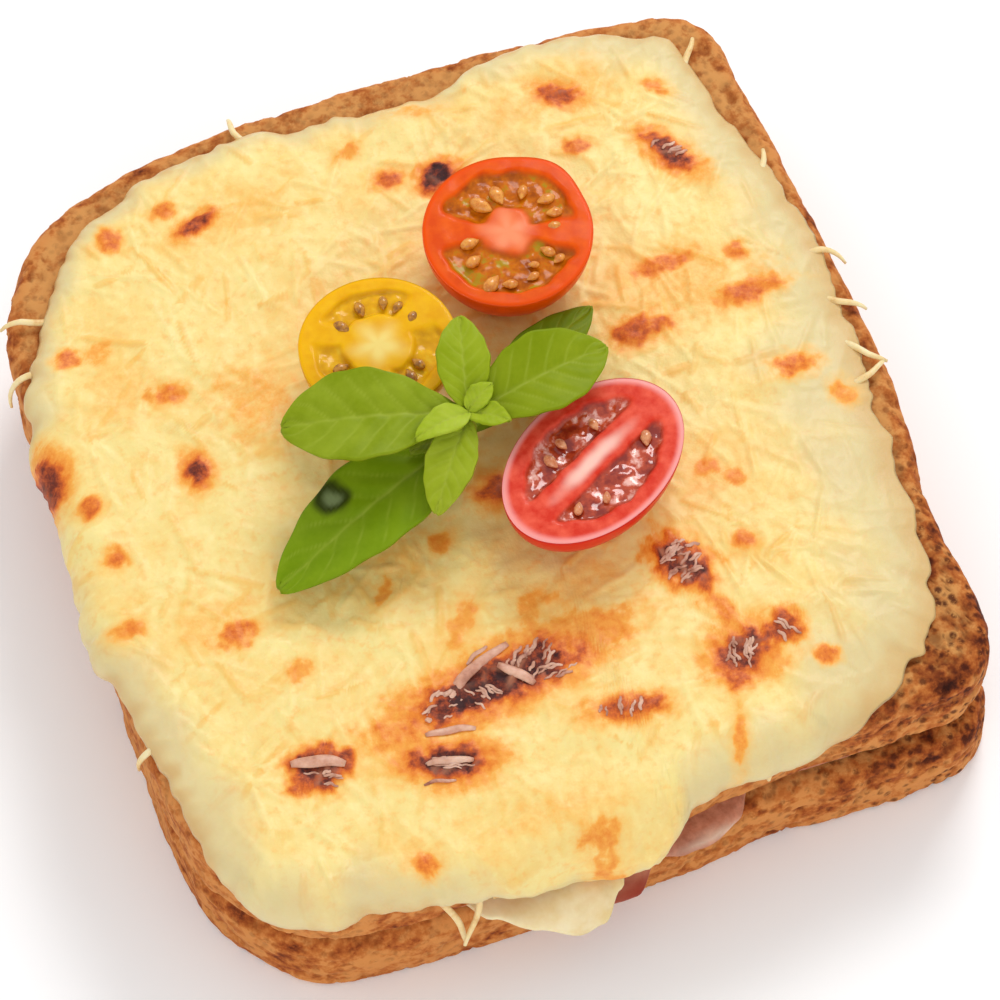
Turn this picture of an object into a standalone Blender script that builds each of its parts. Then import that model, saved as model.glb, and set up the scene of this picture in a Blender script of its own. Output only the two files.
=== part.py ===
# Croque monsieur: two toasted slices of sandwich loaf with ham and white sauce between them,
# a browned cheese topping, three halved cherry tomatoes and a sprig of basil.
# Metres, +Z up. The origin is the middle of the underside, and the front is -Y.

import math

import bmesh
import bpy
from mathutils import Matrix, Vector, noise

MM = 0.001

# Bread: a square sandwich loaf, with bulging sides, four unequal corners and an uneven swell
SLICE_WIDTH = 117 * MM
SLICE_DEPTH = 123 * MM
SLICE_THICKNESS = 12 * MM
BULGE_X = 2.0 * MM
BULGE_Y = 2.6 * MM
CORNER_RADIUS = {
    ("right", "back"): 9 * MM,
    ("right", "front"): 9 * MM,
    ("left", "back"): 25 * MM,
    ("left", "front"): 16.5 * MM,
}
# How far the rim swells past that shape: (direction in degrees, millimetres)
RIM_SWELL = [
    (-174, 0), (-164, 1.4), (-152, 1.8), (-136, 0), (-120, 2.4), (-88, 0), (-68, -2),
    (-56, -0.9), (-48, -0.6), (-42, -0.4), (-34, -2), (-28, -1.9), (-18, -0.2), (-11, 1),
    (28, 0.6), (75, 2), (106, 1.8), (122, -0.4), (140, 0.4), (152, 1), (161, -0.2), (169, -1.8),
    (178, -1.4),
]
SHOULDER = 3 * MM
FOOT_ROUNDING = 1.2 * MM
CRUST_RELIEF = 0.9 * MM
SLICE_COLUMNS = 100
COLUMNS_AT_CORNERS = 0.1
LOWER_SLICE_TURN = math.radians(-1.6)
LOWER_SLICE_SHIFT = (1.7 * MM, -0.5 * MM)

# Layers, from the bottom up
GAP = 0.3 * MM
LOWER_TOP = SLICE_THICKNESS
HAM_THICKNESS = 1.7 * MM
SAUCE_THICKNESS = 1.5 * MM
HAM_LIFT = GAP
SAUCE_LIFT = HAM_LIFT + HAM_THICKNESS + GAP
UPPER_BASE = LOWER_TOP + SAUCE_LIFT + SAUCE_THICKNESS + GAP
UPPER_TOP = UPPER_BASE + SLICE_THICKNESS
FILLING_BEND = 4.2 * MM
SAUCE_SPREAD = 1.1 * MM
FILLING_SEGMENTS = 28

# How far each layer reaches past the bread's rim: (direction in degrees, millimetres)
HAM_REACH = [
    (-180, -2.5), (-150, -3), (-125, -3.2), (-108, -2.6), (-102, 1), (-97, 4.4), (-91, 4.8),
    (-87, 1.2), (-83, 2), (-79, 2.2), (-75, 1.2), (-71, -2.6), (-56, -3), (-44, -3.4), (-30, -3),
    (-10, -2), (12, -2.2), (35, -4), (60, -2), (85, -1), (104, -2.2), (140, -3), (160, -1.6),
]
SAUCE_REACH = [
    (-180, -2.6), (-150, -3.4), (-125, -3), (-113, -2.6), (-109.5, 1.2), (-105, 3.2), (-100, 5),
    (-97, 4.6), (-93.5, 2.6), (-90, -1.4), (-83, -2), (-60, -3.6), (-30, -3.4), (0, -2.4),
    (30, -4), (70, -3), (95, -1.6), (130, -3.4), (160, -2.8),
]
TOPPING_REACH = [
    (-180, 6), (-172, 5.5), (-166, 3), (-161, 0.2), (-155, -0.7), (-148, -1.1), (-141, -1),
    (-136, 1.2), (-131.5, 4.6), (-127, 3.6), (-121, 1.5), (-117, 2.3), (-111, 4), (-105, 8.4),
    (-99, 10.4), (-88, 10.4), (-85.5, 8), (-82.5, 2.2), (-77, 1.6), (-71, 3.4), (-66, 4.9),
    (-62, 2), (-57, -1.4), (-51.5, -6.8), (-47, -9.4), (-41, -8.2), (-36, -4.8), (-30, -3.4),
    (-21, -4), (-14, -5.2), (-5, -3.8), (3, -3.4), (13, -2.5), (23, -3), (32, -5.6),
    (38, -7.6), (43, -8.2), (50, -6.2), (57, -3.8), (64, -2.6), (70, -4), (77, -7.6),
    (86, -7.6), (92, -6.5), (98, -6.6), (104, -4.2), (111, -4.5), (117, -4.4), (124, -6),
    (134, -6.7), (141, -6.8), (147, -5), (152, -2.6), (157, 0.2), (163, 4), (172, 5.5),
]

# Cheese topping
TOPPING_THICKNESS = 2.5 * MM
TOPPING_SEGMENTS = 34
TOPPING_CUT = 1.2 * MM
TOPPING_EDGE = 4.5 * MM
LUMP_HEIGHT = 0.75 * MM
LUMP_SIZE = 11 * MM
CRUMB_HEIGHT = 0.4 * MM
CRUMB_SIZE = 4.5 * MM
SEAT_GAP = 0.45 * MM
STRAND_RADIUS = 0.55 * MM
STRAND_LIFT = 1.0 * MM
STRAND_POINTS = 7
# The thick drip over the end of the ham: direction and half width in degrees, and its bulge
DRIP_DIRECTION = -91.5
DRIP_HALF_WIDTH = 8
DRIP_BULGE = 2.4 * MM

# Strands over the edge: (direction, mm past the edge, degrees that it slants, mm it stands off)
EDGE_STRANDS = [
    (142, 5.5, 3, 0), (150, 4, 3, 0), (104, 4, 1, 0), (-153, 4, 2, 0), (-116, 9, 3.4, 2.2),
    (-109.4, 8.6, -3.6, 3.4), (-104, 0.4, -5, 0), (-71, 2.5, 0.5, 0), (42, 5, 3, 0),
    (24, 2.4, 5, 0), (15, 2, -5, 0), (7, 2.4, -6, 0), (-1, 3, -7, 0), (-13, 3, 5, 0),
]
# Strands on the topping: start x, start y, end x, end y, all in mm
TOP_STRANDS = [
    (-17, -44, -9, -36), (-13, -43, -6, -41), (-9, -41, -3.5, -35.5), (-21, -38, -15, -42),
    (-25, -49, -18, -51), (-41, -46, -38, -42), (18, -32, 22, -28), (19, -28, 23, -33),
    (24, -49, 29, -44), (40, 31, 44, 35),
]

# Halved cherry tomatoes, cut face up
FACE_HEIGHT = 41.5 * MM
LOCULE_DEPTH = 0.8 * MM
TOMATO_AROUND = 28
TOMATO_RINGS = 14
TOMATOES = {
    "tomato_orange": dict(
        centre=(13.3, 24.0), length=25.0, width=26.0, depth=11.2, turn=-20, kind="round",
        corner=(58, 0.07), colour=(0.82, 0.12, 0.01, 1)),
    "tomato_yellow": dict(
        centre=(-10.9, 12.2), length=23.2, width=22.4, depth=10.9, turn=8, kind="star",
        corner=(200, 0.03), colour=(0.85, 0.45, 0.01, 1)),
    "tomato_red": dict(
        centre=(11.4, -16.6), length=31.0, width=21.4, depth=11.0, turn=29, kind="plum",
        corner=(0, 0.0), colour=(0.68, 0.06, 0.03, 1)),
}

# Basil: base and tip in mm, width, arch, fold and roll of each leaf, and where it is widest
LEAF_THICKNESS = 0.5 * MM
STEM_RADIUS = 0.9 * MM
STEM_ROUTE = [(-3.4, -5.4, 45.6), (-3.2, -5.0, 42.0), (-2.6, -4.0, 38.0), (-1.2, -1.0, 34.6),
              (0.4, 2.4, 33.0)]
LARGE_LEAVES = {
    "leaf_left": ((-3.2, -5.2, 44.6), (-28.8, 2.2, 43.6), 14.4, 1.6, 0.20, -6, 0.6),
    "leaf_right": ((-3.4, -5.4, 44.4), (18.8, -1.8, 45.4), 12.4, 1.2, 0.22, 6, 0.55),
    "leaf_low": ((-2.8, -4.2, 37.9), (-36.2, -17.6, 34.4), 14.6, 1.6, 0.14, 4, 0.5),
    "leaf_back": ((-3.4, -5.0, 44.9), (0.4, 9.0, 47.2), 7.6, 0.9, 0.26, 0, 0.5),
    "leaf_front": ((-3.6, -5.6, 44.6), (-12.4, -17.0, 41.0), 7.2, 1.2, 0.24, 0, 0.5),
    "leaf_under": ((-2.2, -3.4, 36.8), (21.6, 11.6, 34.6), 9.0, 0.8, 0.10, 0, 0.5),
}
SMALL_LEAVES = {
    "tender_left": ((-3.2, -5.4, 45.4), (-12.0, -7.6, 46.6), 4.6, 0.8, 0.30, 0, 0.45),
    "tender_right": ((-3.4, -5.4, 45.4), (1.4, -9.4, 46.8), 4.0, 0.5, 0.30, 0, 0.45),
    "tender_top": ((-3.4, -5.2, 45.5), (1.0, -3.2, 47.4), 3.6, 0.5, 0.30, 0, 0.45),
    "tender_low": ((-2.8, -4.6, 39.4), (-12.2, -5.4, 39.6), 4.4, 0.6, 0.20, 0, 0.45),
}


def clear_scene():
    for leftover in list(bpy.data.objects):
        bpy.data.objects.remove(leftover, do_unlink=True)


def food_material(name, colour, roughness):
    """One plain food colour."""
    material = bpy.data.materials.new(name)
    material.use_nodes = True
    shader = material.node_tree.nodes["Principled BSDF"]
    shader.inputs["Base Color"].default_value = colour
    shader.inputs["Roughness"].default_value = roughness
    shader.inputs["Metallic"].default_value = 0.0
    return material


def smooth_step(low, high, value):
    """0 below low, 1 above high, and a smooth rise between them."""
    share = min(1.0, max(0.0, (value - low) / (high - low)))
    return share * share * (3.0 - 2.0 * share)


def reach_at(table, angle):
    """A table's value in a direction, with a smooth blend from one entry to the next."""
    degrees = math.degrees(angle)
    entries = sorted(table)
    entries = entries + [(entries[0][0] + 360, entries[0][1])]
    if degrees < entries[0][0]:
        degrees += 360
    for (start, low), (end, high) in zip(entries, entries[1:]):
        if start <= degrees <= end:
            return (low + (high - low) * smooth_step(start, end, degrees)) * MM
    return entries[0][1] * MM


def rim_distance(angle):
    """Distance from the middle to the edge of a rectangle with four round corners."""
    half_width, half_depth = SLICE_WIDTH / 2, SLICE_DEPTH / 2
    along, across = math.cos(angle), math.sin(angle)
    side = "right" if along >= 0 else "left"
    end = "back" if across >= 0 else "front"
    radius = CORNER_RADIUS[side, end]
    along, across = max(abs(along), 1e-9), max(abs(across), 1e-9)
    distance = min(half_width / along, half_depth / across)
    centre_x, centre_y = half_width - radius, half_depth - radius
    if along * distance > centre_x and across * distance > centre_y:
        middle = along * centre_x + across * centre_y
        spare = centre_x ** 2 + centre_y ** 2 - radius ** 2
        distance = middle + math.sqrt(middle ** 2 - spare)
    return distance


def rim_point(angle):
    """Point on the bread's rim, with the sides' bulge and the uneven swell."""
    distance = rim_distance(angle)
    outward = Vector((math.cos(angle), math.sin(angle)))
    x, y = distance * outward
    half_width, half_depth = SLICE_WIDTH / 2, SLICE_DEPTH / 2
    x_bulge = BULGE_X / half_width * (1 - (y / half_depth) ** 2)
    y_bulge = BULGE_Y / half_depth * (1 - (x / half_width) ** 2)
    return Vector((x * (1 + x_bulge), y * (1 + y_bulge))) + outward * reach_at(RIM_SWELL, angle)


def rim_normal(angle):
    """Outward direction of the rim, square to it."""
    step = 0.01
    along = rim_point(angle + step) - rim_point(angle - step)
    return Vector((along.y, -along.x)).normalized()


def over_slice(angle, run, lift, top, bend):
    """Point at a distance run from the middle, over a slice's flat top and down its side."""
    normal = rim_normal(angle)
    turn_start = rim_point(angle) - normal * bend
    flat = turn_start.length
    if run <= flat:
        spot = turn_start * (run / flat)
        return Vector((spot.x, spot.y, top + lift))
    turned = min((run - flat) / bend, math.pi / 2)
    drop = max(0.0, run - flat - bend * math.pi / 2)
    spot = turn_start + normal * (bend + lift) * math.sin(turned)
    height = top - bend + (bend + lift) * math.cos(turned) - drop
    return Vector((spot.x, spot.y, height))


def square_to_polar(u, v, crowding):
    """Direction, and share of the way to the edge, of a point on a square grid from -1 to 1."""
    angle = math.atan2(v * SLICE_DEPTH, u * SLICE_WIDTH)
    share = max(abs(u), abs(v)) ** crowding
    return angle, share


def add_to(collection, name, bm, material, smooth=True):
    """Turn a bmesh into a named object with its own material."""
    mesh = bpy.data.meshes.new(name)
    bm.to_mesh(mesh)
    bm.free()
    if smooth:
        mesh.shade_smooth()
        mesh.set_sharp_from_angle(angle=math.radians(50))
    mesh.materials.append(material)
    piece = bpy.data.objects.new(name, mesh)
    collection.objects.link(piece)
    return piece


def slice_profile():
    """Rings of a slice's side: (distance in from the outline, height above its underside)."""
    rings = []
    for step in range(3):
        angle = math.pi / 2 * step / 2
        rings.append((FOOT_ROUNDING * (1 - math.sin(angle)), FOOT_ROUNDING * (1 - math.cos(angle))))
    wall_top = SLICE_THICKNESS - SHOULDER
    for share in (0.33, 0.67):
        rings.append((0.0, FOOT_ROUNDING + (wall_top - FOOT_ROUNDING) * share))
    for step in range(4):
        angle = math.pi / 2 * step / 3
        rings.append((SHOULDER * (1 - math.cos(angle)), wall_top + SHOULDER * math.sin(angle)))
    return rings


def crust_dent(point, seed):
    """How far the craggy crust lies inside the outline, from 0 to CRUST_RELIEF."""
    wide = noise.noise(Vector((point.x, point.y, point.z)) / (9 * MM) + Vector((seed, 0, 0)))
    fine = noise.noise(Vector((point.x, point.y, point.z)) / (3.5 * MM) + Vector((0, seed, 0)))
    return CRUST_RELIEF * min(1.0, max(0.0, 0.35 + 0.55 * wide + 0.6 * fine))


def slice_body(base, seed, grow=0.0):
    """A slice's mesh: a short drum whose rings follow the loaf's outline.

    Without growth the crust is craggy. A grown body is smooth, and larger all round.
    """
    rings = slice_profile()
    bm = bmesh.new()
    bmesh.ops.create_cone(
        bm, cap_ends=True, cap_tris=False, segments=SLICE_COLUMNS, radius1=1, radius2=1, depth=1)
    upright = [edge for edge in bm.edges if abs(edge.verts[0].co.z - edge.verts[1].co.z) > 0.5]
    bmesh.ops.subdivide_edges(bm, edges=upright, cuts=len(rings) - 2, use_grid_fill=True)
    middle = base + SLICE_THICKNESS / 2
    for vert in bm.verts:
        ring = round((vert.co.z + 0.5) * (len(rings) - 1))
        inset, height = rings[ring]
        angle = math.atan2(vert.co.y, vert.co.x)
        angle += COLUMNS_AT_CORNERS * math.sin(4 * angle)
        spot = rim_point(angle)
        z = base + height
        if grow:
            inset -= grow
            z += math.copysign(grow, z - middle)
        elif 0 < ring < len(rings) - 1:
            inset += crust_dent(Vector((spot.x, spot.y, z)), seed)
        spot -= rim_normal(angle) * inset
        vert.co = Vector((spot.x, spot.y, z))
    return bm


def make_layer(collection, name, segments, crowding, under, over, material):
    """A closed layer from one square grid: under and over give its two faces' points."""
    bm = bmesh.new()
    bmesh.ops.create_grid(bm, x_segments=segments, y_segments=segments, size=1)
    lower = list(bm.verts)
    made = bmesh.ops.extrude_face_region(bm, geom=list(bm.faces))
    upper = [item for item in made["geom"] if isinstance(item, bmesh.types.BMVert)]
    for verts, place in ((lower, under), (upper, over)):
        for vert in verts:
            angle, share = square_to_polar(vert.co.x, vert.co.y, crowding)
            vert.co = place(angle, share)
    bmesh.ops.recalc_face_normals(bm, faces=list(bm.faces))
    for level in {round(vert.co.z, 7) for vert in (lower[len(lower) // 2], upper[len(upper) // 2])}:
        flat = [face for face in bm.faces
                if all(abs(vert.co.z - level) < 1e-7 for vert in face.verts)]
        if len(flat) > 1:
            bmesh.ops.dissolve_faces(bm, faces=flat)
    return add_to(collection, name, bm, material)


def layer_run(angle, share, table, bend):
    """Distance from the middle of a point at a share of the way to a layer's edge."""
    edge = (rim_point(angle) - rim_normal(angle) * bend).length + bend + reach_at(table, angle)
    return edge * share


def filling_point(angle, share, table, lift, spread):
    """Point of a filling layer, which bends down over the lower slice where it sticks out."""
    run = layer_run(angle, share, table, 0.0)
    start = rim_point(angle).length
    lift += spread * smooth_step(start, start + 2.5 * MM, run)
    if run <= start:
        return over_slice(angle, run, lift, LOWER_TOP, 0.0001 * MM)
    normal = rim_normal(angle)
    turned = min((run - start) / FILLING_BEND, 1.75)
    spot = rim_point(angle) + normal * (FILLING_BEND + lift) * math.sin(turned)
    height = LOWER_TOP - FILLING_BEND + (FILLING_BEND + lift) * math.cos(turned)
    return Vector((spot.x, spot.y, height))


def make_filling(collection, name, table, lift, thickness, spread, material):
    """Ham or sauce: flat between the slices, hanging a little where it comes out."""
    def edge_thickness(share):
        return thickness * (0.55 + 0.45 * math.sqrt(1 - smooth_step(0.93, 1.0, share) ** 2))

    return make_layer(
        collection, name, FILLING_SEGMENTS, 0.5,
        lambda angle, share: filling_point(angle, share, table, lift, spread),
        lambda angle, share: filling_point(
            angle, share, table, lift + edge_thickness(share), spread),
        material)


def tomato_underside(x, y):
    """Lowest point of the tomatoes above a spot, or a height above them all."""
    lowest = 1.0
    for shape in TOMATOES.values():
        turn = math.radians(shape["turn"])
        dx, dy = x - shape["centre"][0] * MM, y - shape["centre"][1] * MM
        along = (dx * math.cos(turn) + dy * math.sin(turn)) / (shape["length"] / 2 * MM)
        across = (dy * math.cos(turn) - dx * math.sin(turn)) / (shape["width"] / 2 * MM)
        away = along ** 2 + across ** 2
        if away < 0.98:
            lowest = min(lowest, FACE_HEIGHT - shape["depth"] * MM * math.sqrt(1 - away))
    return lowest


def topping_lift(angle, share):
    """Height of the topping's surface above the bread, with lumps and a rounded edge."""
    edge = layer_run(angle, 1.0, TOPPING_REACH, SHOULDER)
    run = edge * share
    spot = Vector((math.cos(angle), math.sin(angle), 0)) * run
    lump = LUMP_HEIGHT * noise.noise(spot / LUMP_SIZE)
    crumb = CRUMB_HEIGHT * noise.noise(spot / CRUMB_SIZE + Vector((7, 3, 0)))
    near_edge = min(1.0, edge * (1 - share) / TOPPING_EDGE)
    rounding = 0.5 + 0.5 * math.sqrt(1 - (1 - near_edge) ** 2)
    side = smooth_step(-2 * MM, 6 * MM, run - rim_point(angle).length)
    off_drip = abs(math.degrees(angle) - DRIP_DIRECTION) / DRIP_HALF_WIDTH
    drip = DRIP_BULGE * (1 - smooth_step(0.2, 1, off_drip)) * smooth_step(0, 5 * MM, run - edge + 11 * MM)
    body = TOPPING_THICKNESS * (1 + 0.25 * side) + lump + crumb + drip
    return GAP + body * rounding


def topping_over(angle, share):
    run = layer_run(angle, share, TOPPING_REACH, SHOULDER)
    point = over_slice(angle, run, topping_lift(angle, share), UPPER_TOP, SHOULDER)
    point.z = min(point.z, tomato_underside(point.x, point.y) - SEAT_GAP)
    return point


def topping_under(angle, share):
    """Inner face of the topping, inside the bread, which is then cut away."""
    run = layer_run(angle, share, TOPPING_REACH, SHOULDER)
    return over_slice(angle, run, -TOPPING_CUT, UPPER_TOP, SHOULDER)


def tube(name, route, radius, resolution):
    """A closed tube mesh along a route, made from a curve."""
    curve = bpy.data.curves.new(name, "CURVE")
    curve.dimensions = "3D"
    curve.bevel_depth = radius
    curve.bevel_resolution = resolution
    curve.use_fill_caps = True
    spline = curve.splines.new("POLY")
    spline.points.add(len(route) - 1)
    for point, place in zip(spline.points, route):
        point.co = (place[0], place[1], place[2], 1)
    source = bpy.data.objects.new(name, curve)
    bpy.context.scene.collection.objects.link(source)
    bpy.context.view_layer.update()
    mesh = bpy.data.meshes.new_from_object(source.evaluated_get(bpy.context.evaluated_depsgraph_get()))
    bpy.data.objects.remove(source, do_unlink=True)
    bm = bmesh.new()
    bm.from_mesh(mesh)
    bpy.data.meshes.remove(mesh)
    bmesh.ops.remove_doubles(bm, verts=list(bm.verts), dist=0.01 * MM)
    bmesh.ops.recalc_face_normals(bm, faces=list(bm.faces))
    return bm


def edge_strand_route(direction, length, slant, stand_off):
    """A strand of grated cheese that starts in the topping's edge and hangs past it."""
    start = math.radians(direction)
    inside = 5 * MM
    route = []
    for step in range(STRAND_POINTS):
        share = step / (STRAND_POINTS - 1)
        angle = start + math.radians(slant) * share
        edge = layer_run(start, 1.0, TOPPING_REACH, SHOULDER)
        run = edge - inside + (inside + length * MM) * share
        lift = STRAND_LIFT + 0.6 * MM * (1 - share) + stand_off * MM * share ** 2
        route.append(over_slice(angle, run, lift, UPPER_TOP, SHOULDER))
    return route


def top_strand_route(x0, y0, x1, y1):
    """A strand of grated cheese half sunk in the topping's surface."""
    start, end = Vector((x0, y0)) * MM, Vector((x1, y1)) * MM
    sideways = Vector((start.y - end.y, end.x - start.x)) * 0.12
    route = []
    for step in range(STRAND_POINTS):
        share = step / (STRAND_POINTS - 1)
        spot = start.lerp(end, share) + sideways * math.sin(math.pi * share)
        angle = math.atan2(spot.y, spot.x)
        edge = layer_run(angle, 1.0, TOPPING_REACH, SHOULDER)
        height = UPPER_TOP + topping_lift(angle, spot.length / edge) + 0.15 * MM
        route.append(Vector((spot.x, spot.y, height)))
    return route


def keep_main_shell(mesh):
    """Fill pockets that the joining sealed, and drop loose scraps."""
    bm = bmesh.new()
    bm.from_mesh(mesh)
    left = set(bm.faces)
    shells = []
    while left:
        shell, edge_of_search = [], [left.pop()]
        while edge_of_search:
            face = edge_of_search.pop()
            shell.append(face)
            near = {other for edge in face.edges for other in edge.link_faces} & left
            left -= near
            edge_of_search += near
        shells.append(shell)
    shells.sort(key=len)
    for shell in shells[:-1]:
        bmesh.ops.delete(bm, geom=shell, context="FACES")
    bm.to_mesh(mesh)
    bm.free()


def apply_boolean(target, operation, other):
    """Join a piece with all of a collection, or cut an object out of it, and apply that."""
    change = target.modifiers.new(operation.lower(), "BOOLEAN")
    change.operation = operation
    change.solver = "EXACT"
    if isinstance(other, bpy.types.Collection):
        change.operand_type = "COLLECTION"
        change.collection = other
    else:
        change.object = other
    bpy.context.view_layer.update()
    mesh = bpy.data.meshes.new_from_object(target.evaluated_get(bpy.context.evaluated_depsgraph_get()))
    keep_main_shell(mesh)
    target.modifiers.clear()
    target.data = mesh
    used = list(other.objects) if isinstance(other, bpy.types.Collection) else [other]
    for piece in used:
        bpy.data.objects.remove(piece, do_unlink=True)
    if isinstance(other, bpy.types.Collection):
        bpy.data.collections.remove(other)


def make_topping(collection, material):
    """The gratin: sauce and cheese over the upper slice, with its strands fused on.

    It is made a little too deep, and the bread with a small gap round it is cut out of it.
    """
    topping = make_layer(
        collection, "gratin_topping", TOPPING_SEGMENTS, 0.8, topping_under, topping_over, material)
    strands = bpy.data.collections.new("strands_to_join")
    bpy.context.scene.collection.children.link(strands)
    routes = [edge_strand_route(*entry) for entry in EDGE_STRANDS]
    routes += [top_strand_route(*entry) for entry in TOP_STRANDS]
    for number, route in enumerate(routes):
        name = "strand_%02d" % number
        add_to(strands, name, tube(name, route, STRAND_RADIUS, 0), material)
    apply_boolean(topping, "UNION", strands)
    cutter = add_to(collection, "bread_cutter", slice_body(UPPER_BASE, 0, grow=GAP), material)
    apply_boolean(topping, "DIFFERENCE", cutter)
    return topping


def locule_share(kind, along, across):
    """1 in the middle of a seed chamber of the cut face, 0 on the flesh round it."""
    reach = math.hypot(along, across)
    angle = math.degrees(math.atan2(across, along))
    if kind == "plum":
        lengthways = 1 - smooth_step(0.62, 0.86, math.hypot(along, across * 0.6))
        return lengthways * smooth_step(0.16, 0.34, abs(across)) * (1 - smooth_step(0.6, 0.8, reach))
    chambers = (90, -90) if kind == "round" else (80, -50, 200)
    half_span = 66 if kind == "round" else 48
    ring = smooth_step(0.3, 0.46, reach) * (1 - smooth_step(0.7, 0.86, reach))
    nearest = min(abs((angle - middle + 180) % 360 - 180) for middle in chambers)
    return ring * (1 - smooth_step(half_span - 14, half_span + 6, nearest))


def make_tomato(collection, name, shape, material):
    """Half a cherry tomato: a ball whose upper half is pressed flat into the cut face."""
    bm = bmesh.new()
    bmesh.ops.create_uvsphere(bm, u_segments=TOMATO_AROUND, v_segments=TOMATO_RINGS, radius=1)
    corner_angle, corner_size = shape["corner"]
    for vert in bm.verts:
        x, y, z = vert.co
        angle = math.degrees(math.atan2(y, x))
        off_corner = abs((angle - corner_angle + 180) % 360 - 180)
        stretch = 1 + corner_size * (1 - smooth_step(0, 32, off_corner))
        height = z * shape["depth"] * MM
        if z > 0.001:
            height = -LOCULE_DEPTH * locule_share(shape["kind"], x, y)
        vert.co = Vector((
            x * stretch * shape["length"] / 2 * MM, y * stretch * shape["width"] / 2 * MM, height))
    tomato = add_to(collection, name, bm, material)
    tomato.location = (shape["centre"][0] * MM, shape["centre"][1] * MM, FACE_HEIGHT)
    tomato.rotation_euler = (0, 0, math.radians(shape["turn"]))
    return tomato


def make_leaf(collection, name, base, tip, width, arch, fold, roll, peak, cells, material):
    """A basil leaf: a pointed oval sheet, folded along its midrib, arched and rippled."""
    start, end = Vector(base) * MM, Vector(tip) * MM
    along = (end - start).normalized()
    sideways = Vector((0, 0, 1)).cross(along).normalized()
    sideways = Matrix.Rotation(math.radians(roll), 3, along) @ sideways
    upwards = along.cross(sideways)
    power = math.log(0.5) / math.log(peak)
    bm = bmesh.new()
    bmesh.ops.create_grid(bm, x_segments=cells[0], y_segments=cells[1], size=1)
    for vert in bm.verts:
        share, across = (vert.co.x + 1) / 2, vert.co.y
        half_width = width / 2 * MM * (0.05 + 0.95 * math.sin(math.pi * share ** power) ** 0.7)
        ripple = 0.35 * MM * across ** 2 * math.sin(9 * share + 2 * across)
        height = arch * MM * math.sin(math.pi * share) + fold * abs(across) * half_width + ripple
        vert.co = start.lerp(end, share) + sideways * across * half_width + upwards * height
    bmesh.ops.triangulate(bm, faces=list(bm.faces))
    leaf = add_to(collection, name, bm, material, smooth=False)
    skin = leaf.modifiers.new("thickness", "SOLIDIFY")
    skin.thickness = LEAF_THICKNESS
    skin.offset = 0
    return leaf


def make_basil(collection, material):
    """The sprig: leaves in pairs round one short stem, all one piece."""
    route = [Vector(point) * MM for point in STEM_ROUTE]
    sprig = add_to(collection, "basil_sprig", tube("stem", route, STEM_RADIUS, 1), material)
    leaves = bpy.data.collections.new("leaves_to_join")
    bpy.context.scene.collection.children.link(leaves)
    for table, cells in ((LARGE_LEAVES, (8, 4)), (SMALL_LEAVES, (5, 2))):
        for name, shape in table.items():
            make_leaf(leaves, name, *shape, cells, material)
    apply_boolean(sprig, "UNION", leaves)
    return sprig


def main():
    clear_scene()
    sandwich = bpy.data.collections.new("croque_monsieur")
    bpy.context.scene.collection.children.link(sandwich)

    crust = food_material("toasted_crust", (0.42, 0.16, 0.05, 1), 0.8)
    lower = add_to(sandwich, "bottom_slice", slice_body(0.0, 3.0), crust)
    lower.location = (LOWER_SLICE_SHIFT[0], LOWER_SLICE_SHIFT[1], 0)
    lower.rotation_euler = (0, 0, LOWER_SLICE_TURN)
    upper_crust = food_material("upper_toasted_crust", (0.45, 0.18, 0.06, 1), 0.8)
    add_to(sandwich, "top_slice", slice_body(UPPER_BASE, 11.0), upper_crust)

    ham = food_material("cooked_ham", (0.55, 0.22, 0.16, 1), 0.45)
    make_filling(sandwich, "ham", HAM_REACH, HAM_LIFT, HAM_THICKNESS, 0.0, ham)
    sauce = food_material("white_sauce", (0.85, 0.76, 0.5, 1), 0.4)
    layer = make_filling(
        sandwich, "sauce_layer", SAUCE_REACH, SAUCE_LIFT, SAUCE_THICKNESS, SAUCE_SPREAD, sauce)
    grown_ham = [(direction, reach + GAP / MM) for direction, reach in HAM_REACH]
    cutter = make_filling(
        sandwich, "ham_cutter", grown_ham, HAM_LIFT - GAP, HAM_THICKNESS + 2 * GAP - 0.02 * MM,
        0.0, sauce)
    apply_boolean(layer, "DIFFERENCE", cutter)
    gratin = food_material("browned_cheese", (0.9, 0.68, 0.28, 1), 0.4)
    make_topping(sandwich, gratin)

    for name, shape in TOMATOES.items():
        flesh = food_material(name + "_flesh", shape["colour"], 0.25)
        make_tomato(sandwich, name, shape, flesh)
    basil = food_material("basil_leaf", (0.2, 0.4, 0.02, 1), 0.4)
    make_basil(sandwich, basil)


main()
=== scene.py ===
# %% [markdown]
# # A croque monsieur
# Two slices of sandwich loaf are toasted round ham and white sauce. More sauce and grated cheese are
# browned on top, and three halved cherry tomatoes and a sprig of basil dress the sandwich.
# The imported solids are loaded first. They give the true sizes, and each one is then replaced by a finer
# piece with a real finish, in the same place.

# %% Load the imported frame
import math

import bpy
import numpy as np
from mathutils import Matrix, Vector, kdtree, noise


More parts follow.
